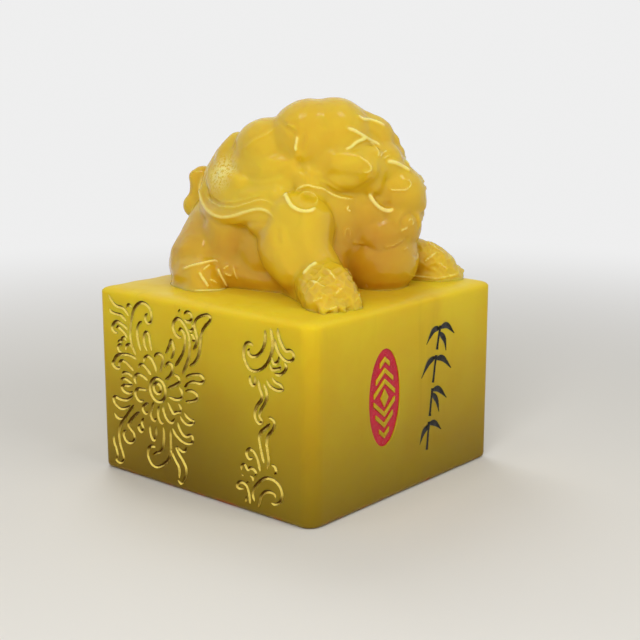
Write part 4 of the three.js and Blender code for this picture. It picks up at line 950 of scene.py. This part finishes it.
def rough_knob(settings):
    """All forms of the beast joined over a slab of the block's top, and softened together."""
    bm = bmesh.new()
    far_forms = [[flip(place) for place in form] for form in HALF_FORMS]
    for form in (*LONE_FORMS, *HALF_FORMS, *far_forms):
        add_form(bm, form)
    for paw in PAWS:
        add_toes(bm, paw)
    size, middle = KNOB_HIGH - KNOB_LOW, (KNOB_LOW + KNOB_HIGH) / 2
    slab = (size.x + SLAB_MARGIN, size.y + SLAB_MARGIN, SLAB_HEIGHT)
    centre = (middle.x, middle.y, -SLAB_DROP - SLAB_HEIGHT / 2)
    place = Matrix.Translation(centre) @ Matrix.Diagonal((*slab, 1))
    bmesh.ops.create_cube(bm, size=1, matrix=place)
    bmesh.ops.translate(bm, vec=(0, 0, SEAT), verts=bm.verts)
    rough = mesh_object("rough_knob", bm)
    remesh = rough.modifiers.new("join", "REMESH")
    remesh.mode = "VOXEL"
    remesh.voxel_size = in_mm(settings.grain)
    joined = take_result(rough)
    below = [vert for vert in joined.verts if vert.co.z < SEAT - SLAB_KEPT]
    bmesh.ops.delete(joined, geom=below, context="VERTS")
    smooth_all(joined, settings.softening, 0.5)
    return joined


def set_on_seat(bm):
    """Cuts the knob at the seat, carries its edge a little into the block and closes it there."""
    bmesh.ops.bisect_plane(bm, geom=[*bm.verts, *bm.edges, *bm.faces], dist=1e-4, plane_co=(0, 0, SEAT),
                           plane_no=(0, 0, 1), clear_inner=True)
    rim = [edge for edge in bm.edges if edge.is_boundary]
    made = bmesh.ops.extrude_edge_only(bm, edges=rim)
    for item in made["geom"]:
        if isinstance(item, bmesh.types.BMVert):
            item.co.z = SEAT - KNOB_SINK
    bmesh.ops.holes_fill(bm, edges=[edge for edge in bm.edges if edge.is_boundary], sides=0)
    bmesh.ops.recalc_face_normals(bm, faces=bm.faces)


def mirrored(point, plane):
    origin, normal = Vector(plane[0]), Vector(plane[1]).normalized()
    return point - normal * (2 * (point - origin).dot(normal))


def view_way(azimuth, elevation):
    """Direction from the seal to a viewer. Azimuth 0 is in front of it and 90 to its right."""
    return Vector((math.sin(azimuth) * math.cos(elevation), -math.cos(azimuth) * math.cos(elevation),
                   math.sin(elevation)))


def camera_place(settings):
    """Camera position in mm and its right and backward directions."""
    back = view_way(settings.azimuth, settings.elevation)
    right = Vector((0, 0, 1)).cross(back).normalized()
    aim = right * in_mm(settings.aim_aside) + Vector((0, 0, in_mm(settings.aim_height)))
    return aim + back * in_mm(settings.distance), right, back


def press_line(surface, eye, right, line, plane):
    """Places on the stone under a drawn line seen from the eye, with the stone's normals."""
    places = []
    for aside, height in smooth_line(line, PRESS_STEP):
        start, target = eye, right * aside + Vector((0, 0, height))
        if plane:
            start, target = mirrored(start, plane), mirrored(target, plane)
        place, normal, _, _ = surface.ray_cast(start, (target - start).normalized())
        if place is not None:
            places.append((place, normal))
    return places


def hump(share):
    """Rise across a carved line: 1 in its middle and 0 at its edge, where the share is 1."""
    return (1 - share) ** 1.6 * (1 + 1.2 * share)


def carve_line(moves, near, places, half, rise):
    """Adds to the moves of the verts near the pressed line, less towards its ends."""
    closest = {}
    for order, (place, _) in enumerate(places):
        for _, index, distance in near.find_range(place, half):
            if distance < closest.get(index, (half, 0))[0]:
                closest[index] = (distance, order)
    last = len(places) - 1
    for index, (distance, order) in closest.items():
        _, own_normal, move = moves[index]
        if own_normal.dot(places[order][1]) >= SAME_WAY:
            taper = min(1, min(order, last - order) / max(1, last * LINE_TAPER))
            move[0] += rise * math.sin(taper * math.pi / 2) * hump(distance / half)


def carve(bm, stage):
    """Presses all carved lines onto the knob along the line of sight. They are drawn on the upright plane
    through the block's middle that faces the camera."""
    bm.verts.ensure_lookup_table()
    bm.normal_update()
    surface = BVHTree.FromBMesh(bm)
    near = KDTree(len(bm.verts))
    for vert in bm.verts:
        near.insert(vert.co, vert.index)
    near.balance()
    moves = [(vert.co.copy(), vert.normal.copy(), [0]) for vert in bm.verts]
    eye, right, _ = camera_place(stage)
    for part, lines in CARVED_LINES.items():
        planes = [None, MIRRORS[part]] if part in MIRRORS else [None]
        for (wide, rise, line), plane in product(lines, planes):
            places = press_line(surface, eye, right, line, plane)
            if len(places) > 2:
                carve_line(moves, near, places, wide / 2, rise)
    ridge = bm.verts.layers.float.new("ridge")
    for vert in bm.verts:
        place, normal, move = moves[vert.index]
        vert.co = place + normal * move[0]
        vert[ridge] = max(0, move[0])


def net_rise(place, settings):
    """Height in mm of the net of fine ridges, which covers only the forepaws."""
    rise = 0
    for net in NETS:
        away = place - Vector(net["centre"]) - Vector((0, 0, SEAT))
        share = 1 - Vector([part / half for part, half in zip(away, net["half"])]).length
        if share > 0:
            wander = NET_WANDER * noise.noise(place / NET_BEND)
            lines = [place.dot(Vector(way)) / in_mm(settings.net_size) + wander for way in NET_WAYS]
            nearest = min(abs(line - round(line)) for line in lines)
            rise = in_mm(settings.net_height) * min(1, share * NET_FADE) * max(0, 1 - nearest / NET_LINE)
    return rise


def work_surface(bm, settings):
    """Leaves the shallow uneven facets of hand work all over the knob, and the net on the forepaws."""
    bm.normal_update()
    size, depth = in_mm(settings.facet), in_mm(settings.facet_depth)
    moves = []
    for vert in bm.verts:
        broad = noise.noise(vert.co / (size * 2.2))
        ridge = 1 - 2 * abs(noise.noise(vert.co / size + Vector((7, 3, 1))))
        rise = depth * (broad * 1.2 + (ridge - 0.5) * 0.8) + net_rise(vert.co, settings)
        moves.append(vert.normal * rise)
    for vert, move in zip(bm.verts, moves):
        vert.co += move


def even_ways(count):
    """Directions spread evenly over the sphere."""
    golden_turn = math.pi * (3 - math.sqrt(5))
    heights = [1 - (2 * way + 1) / count for way in range(count)]
    return [Vector((math.cos(way * golden_turn) * math.sqrt(1 - height ** 2),
                    math.sin(way * golden_turn) * math.sqrt(1 - height ** 2), height))
            for way, height in enumerate(heights)]


def mark_hollows(bm, settings):
    """Stores at each point the share of its outlook that stone near by closes off."""
    bm.normal_update()
    surface = BVHTree.FromBMesh(bm)
    reach = in_mm(settings.hollow_reach)
    ways = even_ways(LOOKS)
    closed = np.zeros(len(bm.verts))
    bm.verts.index_update()
    for vert in bm.verts:
        start = vert.co + vert.normal * LOOK_START
        looks = [way for way in ways if way.dot(vert.normal) > LOOK_RISE]
        hits = [way for way in looks if surface.ray_cast(start, way, reach)[0] is not None]
        closed[vert.index] = len(hits) / len(looks)
    ends = np.array([[vert.index for vert in edge.verts] for edge in bm.edges])
    counts = np.bincount(ends.ravel(), minlength=len(closed)) + 1
    for _ in range(settings.hollow_blur):
        total = closed.copy()
        np.add.at(total, ends[:, 0], closed[ends[:, 1]])
        np.add.at(total, ends[:, 1], closed[ends[:, 0]])
        closed = total / counts
    layer = bm.verts.layers.float.new("hollow")
    for vert in bm.verts:
        vert[layer] = closed[vert.index]


def new_material(name):
    material = bpy.data.materials.new(name)
    material.use_nodes = True
    tree = material.node_tree
    return material, tree, tree.nodes["Principled BSDF"]


def add_node(tree, kind, **values):
    node = tree.nodes.new(kind)
    for name, value in values.items():
        setattr(node, name, value)
    return node


def set_inputs(node, values):
    for name, value in values.items():
        node.inputs[name].default_value = value
    return node


def link(tree, start, end):
    tree.links.new(start, end)


def object_place(tree):
    return add_node(tree, "ShaderNodeTexCoord").outputs["Object"]


def add_noise(tree, place, scale, detail, roughness=0.5, distortion=0, stretch=(1, 1, 1)):
    """Noise texture on stretched object coordinates. Scales are per metre."""
    mapping = set_inputs(add_node(tree, "ShaderNodeMapping"), {"Scale": stretch})
    link(tree, place, mapping.inputs["Vector"])
    texture = set_inputs(add_node(tree, "ShaderNodeTexNoise"), {
        "Scale": scale, "Detail": detail, "Roughness": roughness, "Distortion": distortion})
    link(tree, mapping.outputs["Vector"], texture.inputs["Vector"])
    return texture.outputs["Fac"]


def add_range(tree, value, low, high, to_low=0, to_high=1, kind="SMOOTHSTEP"):
    """Remaps a value, held at both ends."""
    node = add_node(tree, "ShaderNodeMapRange", interpolation_type=kind)
    set_inputs(node, {"From Min": low, "From Max": high, "To Min": to_low, "To Max": to_high})
    link(tree, value, node.inputs["Value"])
    return node.outputs["Result"]


def fill_sockets(tree, sockets, values):
    """Gives each socket its link, its number or its colour."""
    for socket, value in zip(sockets, values):
        if isinstance(value, (int, float)):
            socket.default_value = value
        elif isinstance(value, bpy.types.NodeSocket):
            link(tree, value, socket)
        else:
            socket.default_value = (*value, 1)


def add_math(tree, operation, first, second):
    node = add_node(tree, "ShaderNodeMath", operation=operation)
    fill_sockets(tree, node.inputs, (first, second))
    return node.outputs["Value"]


def add_mix(tree, share, first, second):
    """Mix of two colours by a mask or a fixed share."""
    node = add_node(tree, "ShaderNodeMix", data_type="RGBA")
    fill_sockets(tree, (node.inputs[0], node.inputs[6], node.inputs[7]), (share, first, second))
    return node.outputs[2]


def add_distance(tree, place, centre=(0, 0, 0)):
    away = add_node(tree, "ShaderNodeVectorMath", operation="DISTANCE")
    link(tree, place, away.inputs[0])
    away.inputs[1].default_value = Vector(centre) * MM
    return away.outputs["Value"]


def add_bump(tree, shader, height):
    """Turns a height in metres into the shader's relief."""
    bump = set_inputs(add_node(tree, "ShaderNodeBump"), {"Strength": 1, "Distance": 1})
    link(tree, height, bump.inputs["Height"])
    link(tree, bump.outputs["Normal"], shader.inputs["Normal"])


def handled_group():
    """Wear that all finishes share: smudges from handling and fine scratches."""
    group = bpy.data.node_groups.get("handled surface")
    if group:
        return group
    group = bpy.data.node_groups.new("handled surface", "ShaderNodeTree")
    group.interface.new_socket("Size", in_out="INPUT", socket_type="NodeSocketFloat").default_value = 1
    for name in HANDLED:
        group.interface.new_socket(name, in_out="OUTPUT", socket_type="NodeSocketFloat")
    start = group.nodes.new("NodeGroupInput")
    end = group.nodes.new("NodeGroupOutput")
    scaled = add_node(group, "ShaderNodeVectorMath", operation="SCALE")
    link(group, object_place(group), scaled.inputs[0])
    link(group, start.outputs["Size"], scaled.inputs["Scale"])
    for name, wear in HANDLED.items():
        mark = add_range(group, add_noise(group, scaled.outputs["Vector"], *wear["noise"]), *wear["range"])
        link(group, mark, end.inputs[name])
    return group


def add_handled(tree, size):
    return set_inputs(add_node(tree, "ShaderNodeGroup", node_tree=handled_group()), {"Size": size})


def add_zone(tree, place, zone):
    """Share of a zone's painted shade or painted highlight colour, which fades out at its reach."""
    away = add_distance(tree, place, zone["centre"])
    share = add_range(tree, away, zone["reach"] * MM, 0, 0, zone["share"])
    if "mottled" not in zone:
        return share
    return add_math(tree, "MULTIPLY", share, add_range(tree, add_noise(tree, place, 1400, 2), 0.36, 0.54))


def stone_colour(tree, place, colours, finish):
    """Clouds and upright veins, with painted shade darker towards the foot, over the knob, in zones and in
    the hollows, painted highlights on the ridges and in a zone, and stained patches along the foot.
    """
    clouds = add_range(tree, add_noise(tree, place, 38, 3, 0.5, 0.6), 0.36, 0.68)
    base = add_mix(tree, clouds, colours.bright, colours.cloud)
    veins = add_range(tree, add_noise(tree, place, 150, 4, 0.6, 0.3, (1, 1, 0.12)), 0.56, 0.78, 0, 0.12)
    base = add_mix(tree, veins, base, colours.olive_vein_and_shade)
    height = add_node(tree, "ShaderNodeSeparateXYZ")
    link(tree, place, height.inputs["Vector"])
    # Painted shade: olive, darker towards the bottom
    depth = add_range(tree, height.outputs["Z"], 0.05, 0, kind="LINEAR")
    base = add_mix(tree, add_math(tree, "MULTIPLY", depth, 0.88), base, colours.olive_vein_and_shade)
    # Painted shade: the knob's stone shifted to amber all over
    base = add_mix(tree, finish["knob_shade_share"], base, colours.amber_shade)
    # Painted shade and painted highlight zones
    for zone in PAINTED_LIGHT_ZONES:
        base = add_mix(tree, add_zone(tree, place, zone), base, getattr(colours, zone["colour"]))
    # Painted shade: amber in the hollows. Painted highlight: pale colour on the carved ridges
    for layer, mask, colour in (("hollow", (0.28, 0.95, 0, 0.85), colours.amber_shade),
                                ("ridge", (0.18, 0.62, 0, 0.72), colours.edge)):
        mark = add_node(tree, "ShaderNodeAttribute", attribute_name=layer)
        base = add_mix(tree, add_range(tree, mark.outputs["Fac"], *mask), base, colour)
    foot = add_range(tree, height.outputs["Z"], 0.0016, 0, 0, 0.8)
    patches = add_range(tree, add_noise(tree, place, 130, 3, 0.6), 0.48, 0.66)
    return add_mix(tree, add_math(tree, "MULTIPLY", foot, patches), base, colours.stain)


def stone_material(scene, name):
    """Waxy yellow stone that light travels in."""
    finish = STONE_FINISHES[name]
    colours = scene.seal_stone
    material, tree, shader = new_material(name)
    place = object_place(tree)
    link(tree, stone_colour(tree, place, colours, finish), shader.inputs["Base Color"])
    handled = add_handled(tree, 1)
    rough = add_math(tree, "ADD", add_range(tree, handled.outputs["Smudge"], 0, 1, *finish["rough"]),
                     add_math(tree, "MULTIPLY", handled.outputs["Scratch"], 0.1))
    link(tree, rough, shader.inputs["Roughness"])
    waves = add_math(tree, "MULTIPLY", add_noise(tree, place, 140, 2, 0.45), STONE_WAVE)
    scratches = add_math(tree, "MULTIPLY", handled.outputs["Scratch"], -SCRATCH_DEPTH)
    add_bump(tree, shader, add_math(tree, "ADD", waves, scratches))
    set_inputs(shader, {
        "Subsurface Weight": 0.9, "Subsurface Radius": (1, 0.72, 0.25),
        "Subsurface Scale": colours.scatter * finish["scatter"], "Subsurface Anisotropy": 0.2, "IOR": 1.5,
        "Specular IOR Level": finish["specular"]})
    return material


def paint_material(scene, name):
    """Paint that is tinted where it is thin, smudged by handling and a little lumpy, with painted shade on
    walls that face down where the finish gives one.
    """
    finish = PAINTS[name]
    material, tree, shader = new_material(name)
    place = object_place(tree)
    thin = add_range(tree, add_noise(tree, place, *finish["noise"]), *finish["thin"])
    base = add_mix(tree, thin, getattr(scene.seal_paint, finish["colour"]), paint(finish["tint"]))
    # Painted shade: darker where the surface faces down
    if "under" in finish:
        facing = add_node(tree, "ShaderNodeSeparateXYZ")
        link(tree, add_node(tree, "ShaderNodeTexCoord").outputs["Normal"], facing.inputs["Vector"])
        base = add_mix(tree, add_range(tree, facing.outputs["Z"], 0.1, -0.4), base, paint(finish["under"]))
    link(tree, base, shader.inputs["Base Color"])
    smudge = add_handled(tree, finish["smudges"]).outputs["Smudge"]
    link(tree, add_range(tree, smudge, 0, 1, *finish["rough"]), shader.inputs["Roughness"])
    scale, height = finish["lumps"]
    add_bump(tree, shader, add_math(tree, "MULTIPLY", add_noise(tree, place, scale, 2), height))
    set_inputs(shader, finish["shader"])
    return material


class SEAL_OT_build_block(bpy.types.Operator):
    """Builds the block with its engraved lines, its oval panel and its printing face"""

    bl_idname = "seal.build_block"
    bl_label = "Build the block"

    def execute(self, context):
        scene = context.scene
        paints = scene.seal_paint
        cutters = [groove(left_side, line, paints, line_swell, cutter_section) for _, line in gold_strokes()]
        cutters += [ring_groove(paints, ring, cutter_section) for ring in FLOWER_RINGS.values()]
        cutters += [groove(front_side, line, paints, swell, cutter_section)
                    for joint in bamboo_strokes() for line, swell in joint]
        cutters.append(panel_ground(paints, -in_mm(paints.oval_depth), PANEL_RISE, 0))
        cutters.append(print_ground(scene.seal_block))
        block = cut_away(block_blank(scene.seal_block), cutters)
        finish_piece("carved_block", block, stone_material(scene, "satin stone"), ["stone_block"])
        return {"FINISHED"}


class SEAL_OT_carve_knob(bpy.types.Operator):
    """Carves the beast and its cub"""

    bl_idname = "seal.carve_knob"
    bl_label = "Carve the knob"

    def execute(self, context):
        scene = context.scene
        settings = scene.seal_knob
        knob = rough_knob(settings)
        carve(knob, scene.seal_stage)
        work_surface(knob, settings)
        smooth_all(knob, settings.polish, 0.3)
        mark_hollows(knob, settings)
        set_on_seat(knob)
        finish_piece("carved_beast", knob, stone_material(scene, "polished stone"), ["beast_knob"])
        return {"FINISHED"}


class SEAL_OT_lay_gold(bpy.types.Operator):
    """Lays gold paint in the scrolls of the left side"""

    bl_idname = "seal.lay_gold"
    bl_label = "Lay the gold"

    def execute(self, context):
        settings = context.scene.seal_paint
        material = paint_material(context.scene, "gold paint")
        coats = {f"gold_{name}": groove(left_side, line, settings, line_swell, coat_section)
                 for name, line in gold_strokes()}
        coats |= {name: ring_groove(settings, ring, coat_section) for name, ring in FLOWER_RINGS.items()}
        for node, coat in coats.items():
            nodes = [node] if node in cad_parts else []
            finish_piece(node.replace("gold", "gilt"), coat, material, nodes)
        return {"FINISHED"}


class SEAL_OT_lay_ink(bpy.types.Operator):
    """Lays ink in the bamboo sprig of the front side"""

    bl_idname = "seal.lay_ink"
    bl_label = "Lay the ink"

    def execute(self, context):
        settings = context.scene.seal_paint
        material = paint_material(context.scene, "ink")
        for place, joint in enumerate(bamboo_strokes()):
            sprig = bmesh.new()
            for line, swell in joint:
                stroke = groove(front_side, line, settings, swell, coat_section)
                part = bpy.data.meshes.new("stroke")
                stroke.to_mesh(part)
                stroke.free()
                sprig.from_mesh(part)
                bpy.data.meshes.remove(part)
            name = numbered("bamboo", place)
            finish_piece(f"inked_{name}", sprig, material, [f"ink_{name}"])
        return {"FINISHED"}


class SEAL_OT_lay_red(bpy.types.Operator):
    """Lays red paint in the oval panel"""

    bl_idname = "seal.lay_red"
    bl_label = "Lay the red"

    def execute(self, context):
        settings = context.scene.seal_paint
        bed = RED_BED - in_mm(settings.oval_depth)
        ground = panel_ground(settings, bed, RED_TOP, RED_CLEARANCE)
        material = paint_material(context.scene, "red paint")
        finish_piece("red_ground", ground, material, ["red_panel_ground"])
        return {"FINISHED"}


def add_lamp(name, azimuth, elevation, energy, size=0.25, glints=False):
    """Soft lamp that faces the middle of the seal. Only small lamps show in the polish."""
    lamp = bpy.data.lights.new(name, "AREA")
    lamp.shape = "SQUARE"
    lamp.size = size
    lamp.energy = energy
    piece = bpy.data.objects.new(name, lamp)
    bpy.context.scene.collection.objects.link(piece)
    back = view_way(math.radians(azimuth), math.radians(elevation))
    piece.location = Vector((0, 0, LAMP_AIM)) + back * LAMP_DISTANCE
    piece.rotation_euler = (-back).to_track_quat("-Z", "Y").to_euler()
    piece.visible_glossy = glints


def seen_rays(tree):
    """1 for the rays that show the background: straight, reflected or through glass."""
    paths = add_node(tree, "ShaderNodeLightPath")
    seen = add_math(tree, "MAXIMUM", paths.outputs["Is Camera Ray"], paths.outputs["Is Glossy Ray"])
    return add_math(tree, "MAXIMUM", seen, paths.outputs["Is Transmission Ray"])


def mix_shaders(tree, share, first, second, output):
    mix = add_node(tree, "ShaderNodeMixShader")
    for socket, value in zip(mix.inputs, (share, first, second)):
        link(tree, value, socket)
    link(tree, mix.outputs["Shader"], tree.nodes[output].inputs["Surface"])


def place_camera(scene, settings):
    eye, right, back = camera_place(settings)
    camera = bpy.data.objects.new("photo_camera", bpy.data.cameras.new("photo_camera"))
    scene.collection.objects.link(camera)
    camera.data.lens = settings.lens
    camera.data.sensor_width = 36
    camera.data.clip_start = 0.01
    turn = Matrix((right, back.cross(right), back)).transposed().to_4x4()
    camera.matrix_world = Matrix.Translation(eye * MM) @ turn
    scene.camera = camera


def lay_floor(settings):
    """Pale floor that fades into the backdrop away from the seal."""
    bm = bmesh.new()
    bmesh.ops.create_grid(bm, x_segments=8, y_segments=8, size=3)
    floor = mesh_object("floor", bm)
    material, tree, shader = new_material("pale floor")
    set_inputs(shader, {"Base Color": (*settings.floor, 1), "Roughness": 0.6, "Specular IOR Level": 0.2})
    far = add_range(tree, add_distance(tree, object_place(tree)), 0.1, 0.42)
    glow = set_inputs(add_node(tree, "ShaderNodeEmission"), {"Color": WHITE, "Strength": BACKDROP})
    share = add_math(tree, "MULTIPLY", far, seen_rays(tree))
    mix_shaders(tree, share, shader.outputs["BSDF"], glow.outputs["Emission"], "Material Output")
    floor.data.materials.append(material)


def light_world(scene):
    """Pale world that shows brighter than it lights."""
    world = bpy.data.worlds.new("soft studio")
    scene.world = world
    world.use_nodes = True
    tree = world.node_tree
    light = set_inputs(tree.nodes["Background"], {"Color": WHITE, "Strength": 0.22})
    shown = set_inputs(add_node(tree, "ShaderNodeBackground"), {"Color": WHITE, "Strength": BACKDROP})
    lit, seen = light.outputs["Background"], shown.outputs["Background"]
    mix_shaders(tree, seen_rays(tree), lit, seen, "World Output")


class SEAL_OT_set_stage(bpy.types.Operator):
    """Sets up the floor, the lamps, the world and the camera"""

    bl_idname = "seal.set_stage"
    bl_label = "Set the stage"

    def execute(self, context):
        scene = context.scene
        scene.view_settings.view_transform = "Standard"
        place_camera(scene, scene.seal_stage)
        lay_floor(scene.seal_stage)
        light_world(scene)
        for lamp in LAMPS:
            add_lamp(**lamp)
        return {"FINISHED"}


SETTINGS = {
    "seal_block": SealBlockSettings,
    "seal_paint": SealPaintSettings,
    "seal_stone": SealStoneSettings,
    "seal_knob": SealKnobSettings,
    "seal_stage": SealStageSettings,
}
OPERATORS = (SEAL_OT_build_block, SEAL_OT_carve_knob, SEAL_OT_lay_gold, SEAL_OT_lay_ink, SEAL_OT_lay_red,
             SEAL_OT_set_stage)


class SEAL_PT_panel(bpy.types.Panel):
    """Lists the steps and sizes of the seal stamp"""

    bl_label = "Seal stamp"
    bl_idname = "SEAL_PT_panel"
    bl_space_type = "VIEW_3D"
    bl_region_type = "UI"
    bl_category = "Seal stamp"

    def draw(self, context):
        for operator in OPERATORS:
            self.layout.operator(operator.bl_idname)
        for name, group in SETTINGS.items():
            box = self.layout.box()
            for size in group.__annotations__:
                box.prop(getattr(context.scene, name), size)


def register():
    for group in SETTINGS.values():
        bpy.utils.register_class(group)
    for name, group in SETTINGS.items():
        setattr(bpy.types.Scene, name, PointerProperty(type=group))
    for tool in (*OPERATORS, SEAL_PT_panel):
        bpy.utils.register_class(tool)


def unregister():
    for tool in (SEAL_PT_panel, *reversed(OPERATORS)):
        bpy.utils.unregister_class(tool)
    for name, group in SETTINGS.items():
        delattr(bpy.types.Scene, name)
        bpy.utils.unregister_class(group)


def main():
    register()
    bpy.ops.seal.build_block()
    bpy.ops.seal.carve_knob()
    bpy.ops.seal.lay_gold()
    bpy.ops.seal.lay_ink()
    bpy.ops.seal.lay_red()
    bpy.ops.seal.set_stage()


if __name__ == "__main__":
    main()
